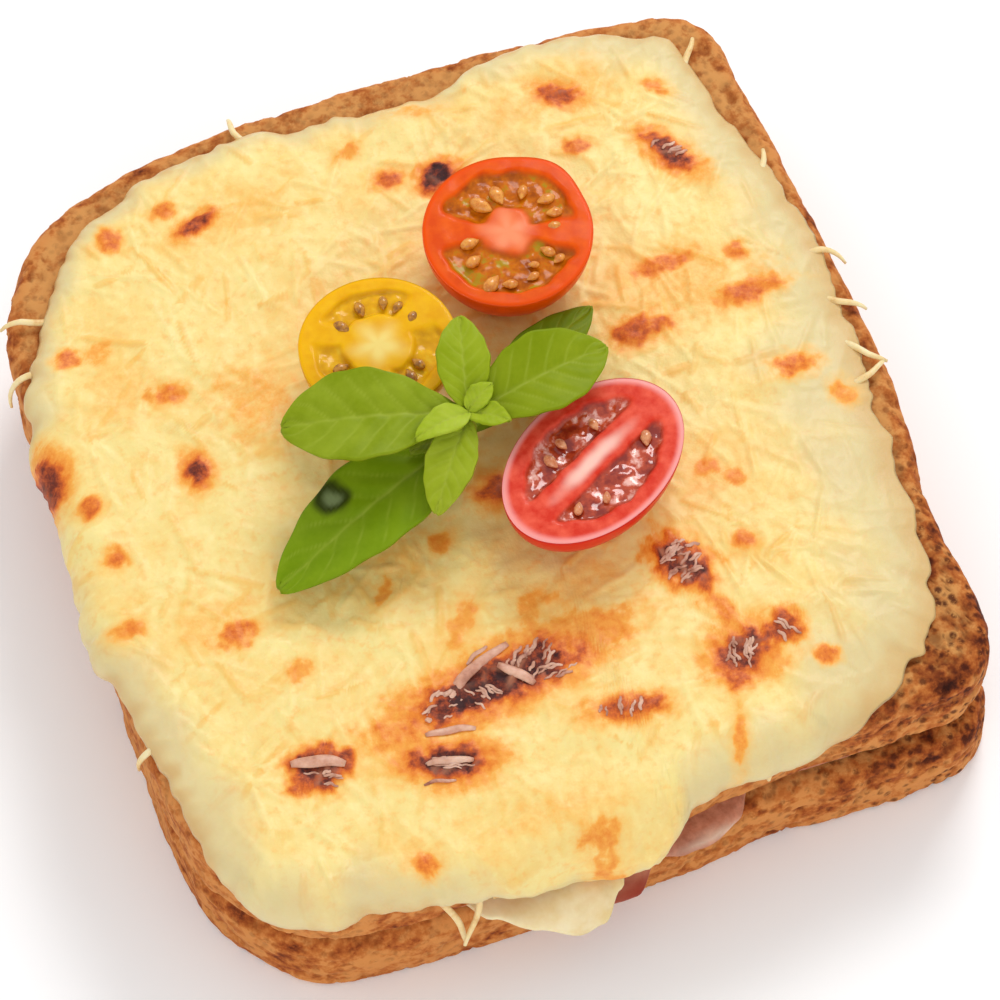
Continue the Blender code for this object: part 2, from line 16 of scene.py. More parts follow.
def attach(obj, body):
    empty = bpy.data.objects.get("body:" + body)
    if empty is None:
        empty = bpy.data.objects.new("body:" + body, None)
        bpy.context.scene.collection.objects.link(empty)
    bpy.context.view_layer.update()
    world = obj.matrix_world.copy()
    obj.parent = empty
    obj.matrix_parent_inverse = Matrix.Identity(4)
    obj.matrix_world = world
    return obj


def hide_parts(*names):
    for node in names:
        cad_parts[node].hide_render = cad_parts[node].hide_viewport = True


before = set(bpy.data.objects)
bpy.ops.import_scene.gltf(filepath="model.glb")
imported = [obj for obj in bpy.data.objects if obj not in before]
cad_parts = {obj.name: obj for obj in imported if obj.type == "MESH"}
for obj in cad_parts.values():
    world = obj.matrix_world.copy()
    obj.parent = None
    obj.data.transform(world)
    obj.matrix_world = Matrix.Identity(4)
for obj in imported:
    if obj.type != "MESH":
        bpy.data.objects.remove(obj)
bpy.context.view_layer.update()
MM = 0.001

# %% [markdown]
# ## The camera
# The photograph looks down steeply on the sandwich, from the front and a little to the left. Far away and
# with a long lens, the sides stay nearly parallel. The camera comes first, because every later choice is
# looked at through it.

# %% Camera and view
AZIMUTH, ELEVATION = math.radians(-20), math.radians(60)
CAMERA_DISTANCE = 0.70
TARGET = Vector((2.20, -3.16, 13.72)) * MM
SENSOR, LENS_TO_SENSOR = 36, 4.732
backwards = Vector((
    math.sin(AZIMUTH) * math.cos(ELEVATION), -math.cos(AZIMUTH) * math.cos(ELEVATION), math.sin(ELEVATION)))
bpy.ops.object.select_all(action="DESELECT")
bpy.ops.object.camera_add(
    location=TARGET + backwards * CAMERA_DISTANCE, rotation=(math.pi / 2 - ELEVATION, 0, AZIMUTH))
camera = bpy.context.object
camera.data.sensor_width = SENSOR
camera.data.lens = SENSOR * LENS_TO_SENSOR
bpy.context.scene.camera = camera
bpy.context.scene.view_settings.view_transform = "Standard"
print("camera at", [round(value / MM) for value in camera.location], "mm")

# %% [markdown]
# ## Light and table
# The picture is bright, with soft shade to the front left of each piece and wet glints on the tomatoes. A
# large soft lamp stands behind and to the right, close to where a level wet surface mirrors the camera,
# and the pale world fills the shade. A second, weaker lamp keeps the front crust readable.


# %% World, lamps and a pale table
def linear(hex_colour):
    """The linear colour that a shader needs for an sRGB hex colour."""
    shares = [int(hex_colour[start:start + 2], 16) / 255 for start in (1, 3, 5)]
    return [((s + 0.055) / 1.055) ** 2.4 if s > 0.04045 else s / 12.92 for s in shares] + [1]


def add_node(tree, kind, inputs=None, stops=None, **settings):
    """Add one node: its settings, a ramp's stops, and its inputs as plain values or linked sockets."""
    made = tree.nodes.new(kind)
    for name, value in settings.items():
        setattr(made, name, value)
    for number, (place, hex_colour) in enumerate(stops or []):
        elements = made.color_ramp.elements
        element = elements[number] if number < 2 else elements.new(place)
        element.position = place
        element.color = linear(hex_colour)
    for socket, value in (inputs or {}).items():
        if isinstance(value, bpy.types.NodeSocket):
            tree.links.new(value, made.inputs[socket])
        else:
            made.inputs[socket].default_value = value
    return made


world = bpy.data.worlds.new("pale_studio")
bpy.context.scene.world = world
world.use_nodes = True
world.node_tree.nodes["Background"].inputs["Color"].default_value = linear("#FDFEFF")
world.node_tree.nodes["Background"].inputs["Strength"].default_value = 0.80

# Each lamp's place and size in metres, and its power in watts
LAMPS = {"soft_key": ((0.40, 0.52, 0.72), 0.34, 3.6), "soft_front": ((-0.30, -0.75, 0.45), 0.6, 1.6)}
for name, (place, size, power) in LAMPS.items():
    aim = (TARGET - Vector(place)).to_track_quat("-Z", "Y").to_euler()
    bpy.ops.object.light_add(type="AREA", location=place, rotation=aim)
    lamp = bpy.context.object
    lamp.name = name
    lamp.data.size = size
    lamp.data.energy = power

bpy.ops.mesh.primitive_plane_add(size=4, location=(0, 0, -0.05 * MM))
table = bpy.context.object
table.name = "table_top"
paint_white = bpy.data.materials.new("matt_white_lacquer")
paint_white.use_nodes = True
lacquer = paint_white.node_tree.nodes["Principled BSDF"]
lacquer.inputs["Base Color"].default_value = linear("#FFFFFF")
lacquer.inputs["Roughness"].default_value = 0.6
table.data.materials.append(paint_white)
print(len(LAMPS), "lamps and a table")

# %% [markdown]
# ## The loaf's outline
# A sandwich loaf is baked in a tin, so its slice is almost square, with sides that bulge a little and four
# corners that are never the same. Each layer of the sandwich follows that outline, so it is worked out
# once, for many directions at a time, and every layer says how far it reaches past it.

# %% Outline of the bread, in metres
HALF_WIDTH, HALF_DEPTH = 58.5 * MM, 61.5 * MM
BULGE_X, BULGE_Y = 2.0 * MM, 2.6 * MM
RIGHT_BACK, RIGHT_FRONT, LEFT_BACK, LEFT_FRONT = 9 * MM, 9 * MM, 25 * MM, 16.5 * MM
SLICE_THICKNESS, SHOULDER = 12 * MM, 3 * MM
# How far the rim swells past that shape: direction in degrees, millimetres
RIM_SWELL = [
    (-174, 0), (-164, 1.4), (-152, 1.8), (-136, 0), (-120, 2.4), (-88, 0), (-68, -2),
    (-56, -0.9), (-48, -0.6), (-42, -0.4), (-34, -2), (-28, -1.9), (-18, -0.2), (-11, 1),
    (28, 0.6), (75, 2), (106, 1.8), (122, -0.4), (140, 0.4), (152, 1), (161, -0.2), (169, -1.8),
    (178, -1.4),
]


def smooth_step(low, high, value):
    """0 below low, 1 above high, and a smooth rise between them."""
    share = np.clip((value - low) / (high - low), 0, 1)
    return share * share * (3 - 2 * share)


def bumps(points, size, offset=(0, 0, 0)):
    """Smooth random values from about -1 to 1 at each point, with lumps of a size in metres."""
    return np.array([noise.noise(spot) for spot in (points / size + np.array(offset)).tolist()])


def reach_at(table, angle):
    """A table's reach in each direction, smoothly between its rows of degrees and millimetres."""
    turns = np.array([row[0] for row in table] + [table[0][0] + 360])
    reach = np.array([row[1] for row in table] + [table[0][1]])
    degrees = np.degrees((angle + math.pi) % (2 * math.pi) - math.pi)
    degrees = np.where(degrees < turns[0], degrees + 360, degrees)
    after = np.clip(np.searchsorted(turns, degrees, side="right"), 1, len(turns) - 1)
    share = smooth_step(turns[after - 1], turns[after], degrees)
    return (reach[after - 1] + (reach[after] - reach[after - 1]) * share) * MM


def rim_points(angle):
    """Points on the bread's rim: a rectangle with round corners, bulging sides and an uneven swell."""
    along, across = np.cos(angle), np.sin(angle)
    back_radius = np.where(along >= 0, RIGHT_BACK, LEFT_BACK)
    front_radius = np.where(along >= 0, RIGHT_FRONT, LEFT_FRONT)
    radius = np.where(across >= 0, back_radius, front_radius)
    side, end = np.maximum(abs(along), 1e-9), np.maximum(abs(across), 1e-9)
    distance = np.minimum(HALF_WIDTH / side, HALF_DEPTH / end)
    centre_x, centre_y = HALF_WIDTH - radius, HALF_DEPTH - radius
    in_corner = (side * distance > centre_x) & (end * distance > centre_y)
    middle = side * centre_x + end * centre_y
    spare = centre_x ** 2 + centre_y ** 2 - radius ** 2
    round_distance = middle + np.sqrt(np.maximum(middle ** 2 - spare, 0))
    distance = np.where(in_corner, round_distance, distance)
    x, y = distance * along, distance * across
    x_bulge = BULGE_X / HALF_WIDTH * (1 - (y / HALF_DEPTH) ** 2)
    y_bulge = BULGE_Y / HALF_DEPTH * (1 - (x / HALF_WIDTH) ** 2)
    swell = np.column_stack([along, across]) * reach_at(RIM_SWELL, angle)[:, None]
    return np.column_stack([x * (1 + x_bulge), y * (1 + y_bulge)]) + swell


def rim_normals(angle):
    """Outward directions, square to the rim."""
    along = rim_points(angle + 0.01) - rim_points(angle - 0.01)
    outward = np.column_stack([along[:, 1], -along[:, 0]])
    return outward / np.linalg.norm(outward, axis=1, keepdims=True)


def over_slice(angle, run, lift, top, bend):
    """Points at a distance run from the middle, over a slice's flat top and down its side."""
    outward = rim_normals(angle)
    turn_start = rim_points(angle) - outward * bend
    flat = np.linalg.norm(turn_start, axis=1)
    turned = np.clip((run - flat) / bend, 0, math.pi / 2)
    drop = np.maximum(0, run - flat - bend * math.pi / 2)
    level = turn_start * (run / flat)[:, None]
    curved = turn_start + outward * ((bend + lift) * np.sin(turned))[:, None]
    spot = np.where((run <= flat)[:, None], level, curved)
    height = np.where(run <= flat, top + lift, top - bend + (bend + lift) * np.cos(turned) - drop)
    return np.column_stack([spot, height])


rim = rim_points(np.linspace(-math.pi, math.pi, 361))
print("bread outline in mm:", np.round(np.ptp(rim, axis=0) / MM, 1))

# %% [markdown]
# ## One way to build a layered drum
# Bread, ham, sauce and tomatoes are all closed round bodies. By hand, such a body is a filled circle that
# is extruded upwards again and again. Each extrusion leaves a ring, and the rings are then pulled to
# the real profile. The same helper serves them all, so a ring's number and direction say where it belongs.


# %% A drum of many rings
def extruded_drum(name, columns, rings):
    """A filled circle, extruded upwards one unit at a time: returns the piece, ring numbers, directions."""
    bpy.ops.object.select_all(action="DESELECT")
    bpy.ops.mesh.primitive_circle_add(vertices=columns, radius=1, fill_type="NGON")
    piece = bpy.context.object
    piece.name = piece.data.name = name
    bpy.ops.object.mode_set(mode="EDIT")
    for _ in range(rings - 1):
        bpy.ops.mesh.extrude_region_move(TRANSFORM_OT_translate={"value": (0, 0, 1)})
    bpy.ops.mesh.select_all(action="SELECT")
    bpy.ops.mesh.normals_make_consistent(inside=False)
    bpy.ops.object.mode_set(mode="OBJECT")
    points = read_points(piece)
    return piece, np.rint(points[:, 2]).astype(int), np.arctan2(points[:, 1], points[:, 0])


def read_points(piece):
    """All vertices of a piece, as rows of x, y and z."""
    flat = np.empty(len(piece.data.vertices) * 3)
    piece.data.vertices.foreach_get("co", flat)
    return flat.reshape(-1, 3)


def place_points(piece, points):
    """Pull every vertex of a piece to its place."""
    piece.data.vertices.foreach_set("co", points.astype(np.float32).ravel())
    piece.data.update()


def paint(piece, name, values):
    """Store one number per vertex, for the piece's material to read."""
    layer = piece.data.attributes.new(name, "FLOAT", "POINT")
    layer.data.foreach_set("value", np.asarray(values, dtype=np.float32))


def serve(piece, node, finish):
    """Give a piece its finish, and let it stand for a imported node."""
    piece.data.materials.clear()
    piece.data.materials.append(finish)
    piece.data.shade_smooth()
    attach(piece, "root")
    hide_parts(node)
    piece.data.calc_loop_triangles()
    print(piece.name, len(piece.data.loop_triangles), "triangles")


# %% [markdown]
# ## Toasted bread
# The crust of a tin loaf is thin, brown and pitted. The heat has dried it, so it scatters light from
# a rough surface and shines hardly at all. The cut faces are crumb, toasted golden, with open pores. The
# colour follows four things that are stored on the vertices: how deep a pore is, how pitted the spot is, how
# far it was toasted, and whether it lies on a cut face. The first two darken the pores and small holes with
# painted shade. The third is called toasting and not heat, because the renderer keeps the name heat for
# smoke, and a mesh's own numbers under it never reach the finish.


# %% Finish: toasted wheat crust and crumb
def new_finish(name, **constants):
    """A material with constants set on its shader's own sockets, given as words_with_underscores."""
    finish = bpy.data.materials.new(name)
    finish.use_nodes = True
    tree = finish.node_tree
    shader = tree.nodes["Principled BSDF"]
    for words, value in constants.items():
        shader.inputs[words.replace("_", " ")].default_value = value
    place = add_node(tree, "ShaderNodeTexCoord").outputs["Object"]
    return finish, tree, shader, place


def speckle(tree, place, size, detail=3.0, roughness=0.55):
    """Noise with lumps of a size in millimetres, from 0 to 1."""
    return add_node(tree, "ShaderNodeTexNoise", {
        "Vector": place, "Scale": 1 / (size * MM), "Detail": detail, "Roughness": roughness}).outputs["Fac"]


def stored(tree, name):
    """The numbers that paint() left on the vertices."""
    return add_node(tree, "ShaderNodeAttribute", attribute_name=name).outputs["Fac"]


def blend(tree, share, first, second):
    """One colour over another. Both may be hex colours or sockets."""
    first = linear(first) if isinstance(first, str) else first
    second = linear(second) if isinstance(second, str) else second
    return add_node(tree, "ShaderNodeMix", {0: share, 6: first, 7: second}, data_type="RGBA").outputs[2]


def adjust(tree, value, low, high, to_low=0.0, to_high=1.0):
    """Spread values between low and high over a new range."""
    return add_node(tree, "ShaderNodeMapRange", {
        "Value": value, "From Min": low, "From Max": high, "To Min": to_low, "To Max": to_high}
    ).outputs["Result"]


def combine(tree, how, first, second):
    """Arithmetic on two values."""
    return add_node(tree, "ShaderNodeMath", {0: first, 1: second}, operation=how, use_clamp=True).outputs[0]


# Small open pores in the crumb, about as far apart as in a sandwich loaf
HOLE_SPACING = 1.6 * MM


def toasted_bread(name):
    # Toasted wheat bread: dry and matt, darkest where it stood proud, and painted shade makes the deep pores
    # near black
    finish, tree, shader, place = new_finish(
        name, Roughness=0.8, Specular_IOR_Level=0.15, Subsurface_Weight=0.06, Subsurface_Scale=0.5 * MM,
        Subsurface_Radius=(1.0, 0.6, 0.3))
    cloud = speckle(tree, place, 7.0, 4.0)
    grain = speckle(tree, place, 1.1, 4.0, 0.7)
    blotch = speckle(tree, place, 2.6, 3.0, 0.6)
    toasting = stored(tree, "toasting")
    for pattern, low, high, less, more in (
            (cloud, 0.3, 0.7, -0.26, 0.28), (grain, 0.3, 0.7, -0.16, 0.16), (blotch, 0.35, 0.65, -0.26, 0.3)):
        toasting = combine(tree, "ADD", toasting, adjust(tree, pattern, low, high, less, more))
    crust = add_node(tree, "ShaderNodeValToRGB", {"Fac": toasting}, stops=[
        (0.0, "#D08848"), (1.0, "#2A0E08"), (0.25, "#BC6C30"), (0.5, "#9C4C1C"), (0.75, "#602810")]
    ).outputs["Color"]
    crumb = add_node(tree, "ShaderNodeValToRGB", {"Fac": toasting}, stops=[
        (0.0, "#CE9050"), (1.0, "#341208"), (0.4, "#AE642C"), (0.7, "#803A14")]).outputs["Color"]
    colour = blend(tree, stored(tree, "cut_face"), crust, crumb)
    holes = add_node(tree, "ShaderNodeTexVoronoi", {"Vector": place, "Scale": 1 / HOLE_SPACING}).outputs[0]
    small_holes = combine(tree, "MULTIPLY", adjust(tree, holes, 0.46, 0.22), adjust(tree, grain, 0.36, 0.5))
    small_holes = combine(tree, "MULTIPLY", small_holes, stored(tree, "specks"))
    # Painted shade: the deeper a pore or small hole, the nearer its colour comes to near black
    depth = combine(tree, "MAXIMUM", combine(tree, "MULTIPLY", stored(tree, "pore"), 0.6), small_holes)
    colour = blend(tree, combine(tree, "MULTIPLY", depth, 0.9), colour, "#481A0A")
    tree.links.new(colour, shader.inputs["Base Color"])
    rough = combine(tree, "SUBTRACT", grain, combine(tree, "MULTIPLY", small_holes, 0.7))
    grit = add_node(tree, "ShaderNodeBump", {"Height": rough, "Strength": 0.6, "Distance": 0.25 * MM})
    tree.links.new(grit.outputs["Normal"], shader.inputs["Normal"])
    return finish


lower_bread = toasted_bread("toasted_wheat_crust_lower")
upper_bread = toasted_bread("toasted_wheat_crust_upper")
print("finishes:", lower_bread.name, upper_bread.name)

# %% [markdown]
# ## The two slices
# A slice is a drum: a flat underside, a low foot rounding, an upright wall, a round shoulder and a flat
# top. Its rings are pulled to the loaf's outline. The crust's crags are soft noise that only goes inwards,
# and its pores are real dents: each one pushes in the few vertices round it.

# %% Shape the slices
COLUMNS = 880
PORES_PER_SLICE = 1700
CRUST_RELIEF, FINE_RELIEF = 0.9 * MM, 0.16 * MM
# The right front corner is the darkest and most pitted: its direction and half width, in degrees
DARK_CORNER, DARK_CORNER_WIDTH = -44, 20


def slice_profile():
    """Rings from the middle of the underside to the middle of the top: inset and height in mm, and scale."""
    top, wall_top, shoulder, foot = 12, 9, 3, 1.2
    # Past this inset the rings no longer follow the rim: they only shrink towards the middle
    inmost = 12
    rows = [(inmost, 0, scale) for scale in (0.1, 0.4, 0.7, 1)]
    rows += [(inset, 0, 1) for inset in (9, 6.5, 4, 2.4)]
    for turn in np.linspace(0, math.pi / 2, 5):
        rows.append((foot * (1 - math.sin(turn)), foot * (1 - math.cos(turn)), 1))
    rows += [(0, height, 1) for height in np.linspace(foot, wall_top, 15)[1:-1]]
    for turn in np.linspace(0, math.pi / 2, 9):
        rows.append((shoulder * (1 - math.cos(turn)), wall_top + shoulder * math.sin(turn), 1))
    rows += [(inset, top, 1) for inset in np.arange(3.5, 12.1, 0.5)]
    rows += [(inmost, top, scale) for scale in (0.8, 0.5, 0.25, 0.1)]
    return np.array(rows)


def press_pores(piece, points, outward, likely, seed, count):
    """Dent the surface with round pores, and return how deep in a pore each vertex lies, from 0 to 1."""
    rng = np.random.default_rng(seed)
    tree = kdtree.KDTree(len(points))
    for index, spot in enumerate(points.tolist()):
        tree.insert(spot, index)
    tree.balance()
    pore, dent = np.zeros(len(points)), np.zeros(len(points))
    for centre in rng.choice(len(points), size=count, p=likely / likely.sum()):
        radius = rng.uniform(0.32, 0.6) * MM * (1 + rng.random() ** 5)
        depth = radius * rng.uniform(0.5, 0.9)
        brim = radius * 1.15
        for _, index, away in tree.find_range(points[centre], brim):
            bowl = 1 - (away / brim) ** 2
            pore[index] = max(pore[index], bowl)
            dent[index] = max(dent[index], bowl * depth)
    place_points(piece, points - outward * dent[:, None])
    return pore


def loaf_slice(name, base, seed, turn=0.0, shift=(0.0, 0.0)):
    """A toasted slice whose underside lies at the height base."""
    profile = slice_profile()
    piece, ring, angle = extruded_drum(name, COLUMNS, len(profile))
    inset, height, scale = (profile[ring] * (MM, MM, 1)).T
    # Which way each ring faces: outwards on the wall, down on the underside and up on the top
    steps = np.gradient(profile[:, :2], axis=0)
    steps[profile[:, 2] < 1] = (1, 0)
    steps[-5:] = (1, 0)
    steps[:5] = (-1, 0)
    slope = np.column_stack([steps[:, 1], steps[:, 0]])
    slope /= np.linalg.norm(slope, axis=1, keepdims=True)
    sideways = rim_normals(angle)
    spot = rim_points(angle) - sideways * np.minimum(inset, SHOULDER)[:, None]
    to_middle = 1 - np.maximum(inset - SHOULDER, 0) / np.linalg.norm(spot, axis=1)
    spot *= (to_middle * scale)[:, None]
    points = np.column_stack([spot, base + height])
    outward = np.column_stack([sideways * slope[ring, :1], slope[ring, 1]])

    rim_at = np.column_stack([rim_points(angle), base + height])
    wide = bumps(rim_at, 9 * MM, (seed, 0, 0))
    fine = bumps(rim_at, 3.5 * MM, (0, seed, 0))
    crag = bumps(points, 1.6 * MM, (seed, seed, 0))
    layers = bumps(rim_at * (0.3, 0.3, 1), 1.6 * MM, (seed, 0, seed))
    on_wall = smooth_step(0.3, 0.9, abs(slope[ring, 0]))
    relief = CRUST_RELIEF * np.clip(0.3 + 0.5 * wide + 0.3 * fine, 0, 1) * (0.25 + 0.75 * on_wall)
    relief += FINE_RELIEF * (0.5 + crag + on_wall * layers) * np.clip(scale * 2 - 1, 0, 1)
    points = points - outward * relief[:, None]

    degrees = np.degrees(angle)
    right_corner = np.exp(-((degrees - DARK_CORNER) / DARK_CORNER_WIDTH) ** 2)
    outer = 1 - smooth_step(7 * MM, 12 * MM, inset)
    likely = outer * (1 + 1.5 * right_corner) * (scale == 1) * (0.4 + 0.6 * smooth_step(-0.3, 0.3, wide))
    likely *= np.where(height > 0, 1.0, 0.3)
    pore = press_pores(piece, points, outward, likely, seed, PORES_PER_SLICE)

    cut_face = smooth_step(1.4 * MM, 3.6 * MM, inset + 0.5 * MM * fine)
    edge_toasting = 0.1 * (height > 9 * MM) * (1 - smooth_step(1 * MM, 5 * MM, inset))
    toasting = 0.02 + 0.16 * fine + 0.12 * crag + 0.3 * layers * on_wall + edge_toasting
    toasting += 0.3 * right_corner * smooth_step(2 * MM, 8 * MM, height)
    # Painted shade: the pores' depth and the specks darken the colour, more at the dark corner; the specks
    # also deepen the small holes' bump
    paint(piece, "pore", pore * (0.4 + 0.6 * right_corner))
    paint(piece, "specks", 0.3 + 0.7 * right_corner)
    paint(piece, "toasting", toasting)
    paint(piece, "cut_face", cut_face)
    points = read_points(piece)
    spin = Matrix.Rotation(turn, 3, "Z")
    points = points @ np.array(spin).T + np.array([*shift, 0])
    place_points(piece, points)
    return piece


LOWER_TURN, LOWER_SHIFT = math.radians(-1.6), (1.7 * MM, -0.5 * MM)
UPPER_BASE, UPPER_TOP = 16.1 * MM, 28.1 * MM
lower_toast = loaf_slice("lower_toast", 0.0, 3, LOWER_TURN, LOWER_SHIFT)
serve(lower_toast, "bottom_slice", lower_bread)
upper_toast = loaf_slice("upper_toast", UPPER_BASE, 11)
serve(upper_toast, "top_slice", upper_bread)

# %% [markdown]
# ## Ham and white sauce
# Cooked ham is a wet, fine-grained slice, pink inside and browned to a glossy red where it hangs out of the
# sandwich. The sauce is flour, butter and milk: smooth, thick and pale, and it lets a little light in.
# Both are thin closed drums. Between the slices they are flat, and past the rim they bend down.

# %% How far the fillings reach past the rim: direction in degrees, millimetres
HAM_REACH = [
    (-180, -2.5), (-150, -3), (-125, -3.2), (-108, -2.6), (-102, 1), (-97, 4.4), (-91, 4.8),
    (-87, 1.2), (-83, 2), (-79, 2.2), (-75, 1.2), (-71, -2.6), (-56, -3), (-44, -3.4), (-30, -3),
    (-10, -2), (12, -2.2), (35, -4), (60, -2), (85, -1), (104, -2.2), (140, -3), (160, -1.6),
]
SAUCE_REACH = [
    (-180, -2.6), (-150, -3.4), (-125, -3), (-113, -2.6), (-109.5, 1.2), (-105, 3.2), (-100, 5),
    (-97, 4.6), (-93.5, 2.6), (-90, -1.4), (-83, -2), (-60, -3.6), (-30, -3.4), (0, -2.4),
    (30, -4), (70, -3), (95, -1.6), (130, -3.4), (160, -2.8),
]

# %% Shape the fillings
FILLING_BEND = 4.2 * MM
FILLING_COLUMNS = 720
# The ham is roasted at its tip and fat in its fold: direction and half width, in degrees
ROASTED_TIP, FAT_FOLD = (-90, 9), (-79, 5)


def filling(name, table, lift, thickness, spread, wave):
    """A thin layer on the lower slice: flat between the slices, hanging where it comes out.

    Lift is the gap under it, spread is how far its hanging part opens, and wave is how much it ripples.
    Returns the piece, each vertex's direction, and how far past the rim it lies.
    """
    # How far each ring lies back from the edge, from the underside over the rim to the top
    back = np.array([30, 12, 6, 3, 2, 1.2, 0.6, 0.25, 0.05, 0, 0.05, 0.25, 0.6, 1.2, 2, 3, 6, 12, 30]) * MM
    rings = len(back)
    rise = np.concatenate([np.zeros(8), [0.18, 0.5, 0.82], np.ones(8)])
    piece, ring, angle = extruded_drum(name, FILLING_COLUMNS, rings)
    start = np.linalg.norm(rim_points(angle), axis=1)
    edge = start + reach_at(table, angle)
    along_rim = np.column_stack([rim_points(angle), np.zeros(len(angle))])
    edge += 0.25 * MM * bumps(along_rim, 3 * MM)
    run = edge - back[ring]
    outside = smooth_step(start, start + 2.5 * MM, run)
    thin = thickness * np.interp(back[ring], [0, 1.2 * MM, 3 * MM], [0.6, 0.9, 1])
    up = lift + spread * outside + thin * rise[ring]
    up += wave * bumps(along_rim, 5 * MM, (4, 0, 0)) * outside
    turned = np.clip((run - start) / FILLING_BEND, 0, 1.75)
    outward = rim_normals(angle)
    flat = rim_points(angle) * (run / start)[:, None]
    hanging = rim_points(angle) + outward * ((FILLING_BEND + up) * np.sin(turned))[:, None]
    spot = np.where((run <= start)[:, None], flat, hanging)
    top = SLICE_THICKNESS
    height = np.where(run <= start, top + up, top - FILLING_BEND + (FILLING_BEND + up) * np.cos(turned))
    place_points(piece, np.column_stack([spot, height]))
    return piece, angle, run - start


ham, ham_angle, ham_out = filling("cooked_ham", HAM_REACH, 0.3 * MM, 1.7 * MM, 0.0, 0.15 * MM)
ham_degrees = np.degrees(ham_angle)
off_tip = (ham_degrees - ROASTED_TIP[0]) / ROASTED_TIP[1]
off_fold = (ham_degrees - FAT_FOLD[0]) / FAT_FOLD[1]
paint(ham, "roasted", smooth_step(0.5 * MM, 4 * MM, ham_out) * np.exp(-off_tip ** 2))
paint(ham, "fat", 0.6 * np.exp(-((ham_out / MM - 1.5) / 0.5) ** 2 - off_fold ** 2))
sauce, _, _ = filling("white_sauce", SAUCE_REACH, 2.3 * MM, 1.5 * MM, 1.1 * MM, 0.1 * MM)

# Cooked ham: wet and fine-grained, so it has a soft shine and a streaky pink
ham_meat, tree, shader, place = new_finish(
    "cooked_ham_meat", Roughness=0.45, Specular_IOR_Level=0.2, Subsurface_Weight=0.2,
    Subsurface_Scale=1.0 * MM, Subsurface_Radius=(1.6, 0.6, 0.4))
meat_streaks = speckle(tree, place, 2.5, 5.0, 0.6)
meat = blend(tree, adjust(tree, meat_streaks, 0.35, 0.65), "#D08C6E", "#A8644A")
meat = blend(tree, stored(tree, "roasted"), meat, "#8E2C10")
meat = blend(tree, stored(tree, "fat"), meat, "#EBD9C2")
tree.links.new(meat, shader.inputs["Base Color"])
meat_bump = add_node(tree, "ShaderNodeBump", {"Height": meat_streaks, "Strength": 0.5, "Distance": 0.3 * MM})
tree.links.new(meat_bump.outputs["Normal"], shader.inputs["Normal"])
serve(ham, "ham", ham_meat)

# White sauce: milk fat and starch, smooth with a soft shine, and slightly see-through at thin edges
sauce_finish, tree, shader, place = new_finish(
    "set_white_sauce", Roughness=0.38, Specular_IOR_Level=0.3, Subsurface_Weight=0.3,
    Subsurface_Scale=1.2 * MM, Subsurface_Radius=(1.6, 1.1, 0.5))
sauce_cloud = speckle(tree, place, 4.0, 4.0)
tree.links.new(blend(tree, adjust(tree, sauce_cloud, 0.35, 0.65), "#EFDEB4", "#E4CA90"),
               shader.inputs["Base Color"])
sauce_bump = add_node(tree, "ShaderNodeBump", {"Height": sauce_cloud, "Strength": 0.4, "Distance": 0.3 * MM})
tree.links.new(sauce_bump.outputs["Normal"], shader.inputs["Normal"])
serve(sauce, "sauce_layer", sauce_finish)

# %% [markdown]
# ## The gratin
# White sauce and grated cheese melt into one skin. What is left of the grated strands are soft ridges a
# millimetre or so wide, and the heat browns the skin where a bubble rose or a dry strand stood up. A
# fine square grid is laid over the bread like a cloth, with its border turned under, and pushed up
# by lumps, strands and blisters. Where each tomato sits, it is pressed down.

# %% How far the gratin reaches, and where it browned
# How far its edge lies past the rim, along the surface: direction in degrees, millimetres
TOPPING_REACH = [
    (-180, 6), (-172, 5.5), (-166, 3), (-161, 0.2), (-155, -0.7), (-148, -1.1), (-141, -1),
    (-136, 1.2), (-131.5, 4.6), (-127, 3.6), (-121, 1.5), (-117, 2.3), (-111, 4), (-105, 8.4),
    (-99, 10.4), (-88, 10.4), (-85.5, 8), (-82.5, 2.2), (-77, 1.6), (-71, 3.4), (-66, 4.9),
    (-62, 2), (-57, -1.4), (-51.5, -6.8), (-47, -9.4), (-41, -8.2), (-36, -4.8), (-30, -3.4),
    (-21, -4), (-14, -5.2), (-5, -3.8), (3, -3.4), (13, -2.5), (23, -3), (32, -5.6),
    (38, -7.6), (43, -8.2), (50, -6.2), (57, -3.8), (64, -2.6), (70, -4), (77, -7.6),
    (86, -7.6), (92, -6.5), (98, -6.6), (104, -4.2), (111, -4.5), (117, -4.4), (124, -6),
    (134, -6.7), (141, -6.8), (147, -5), (152, -2.6), (157, 0.2), (163, 4), (172, 5.5),
]
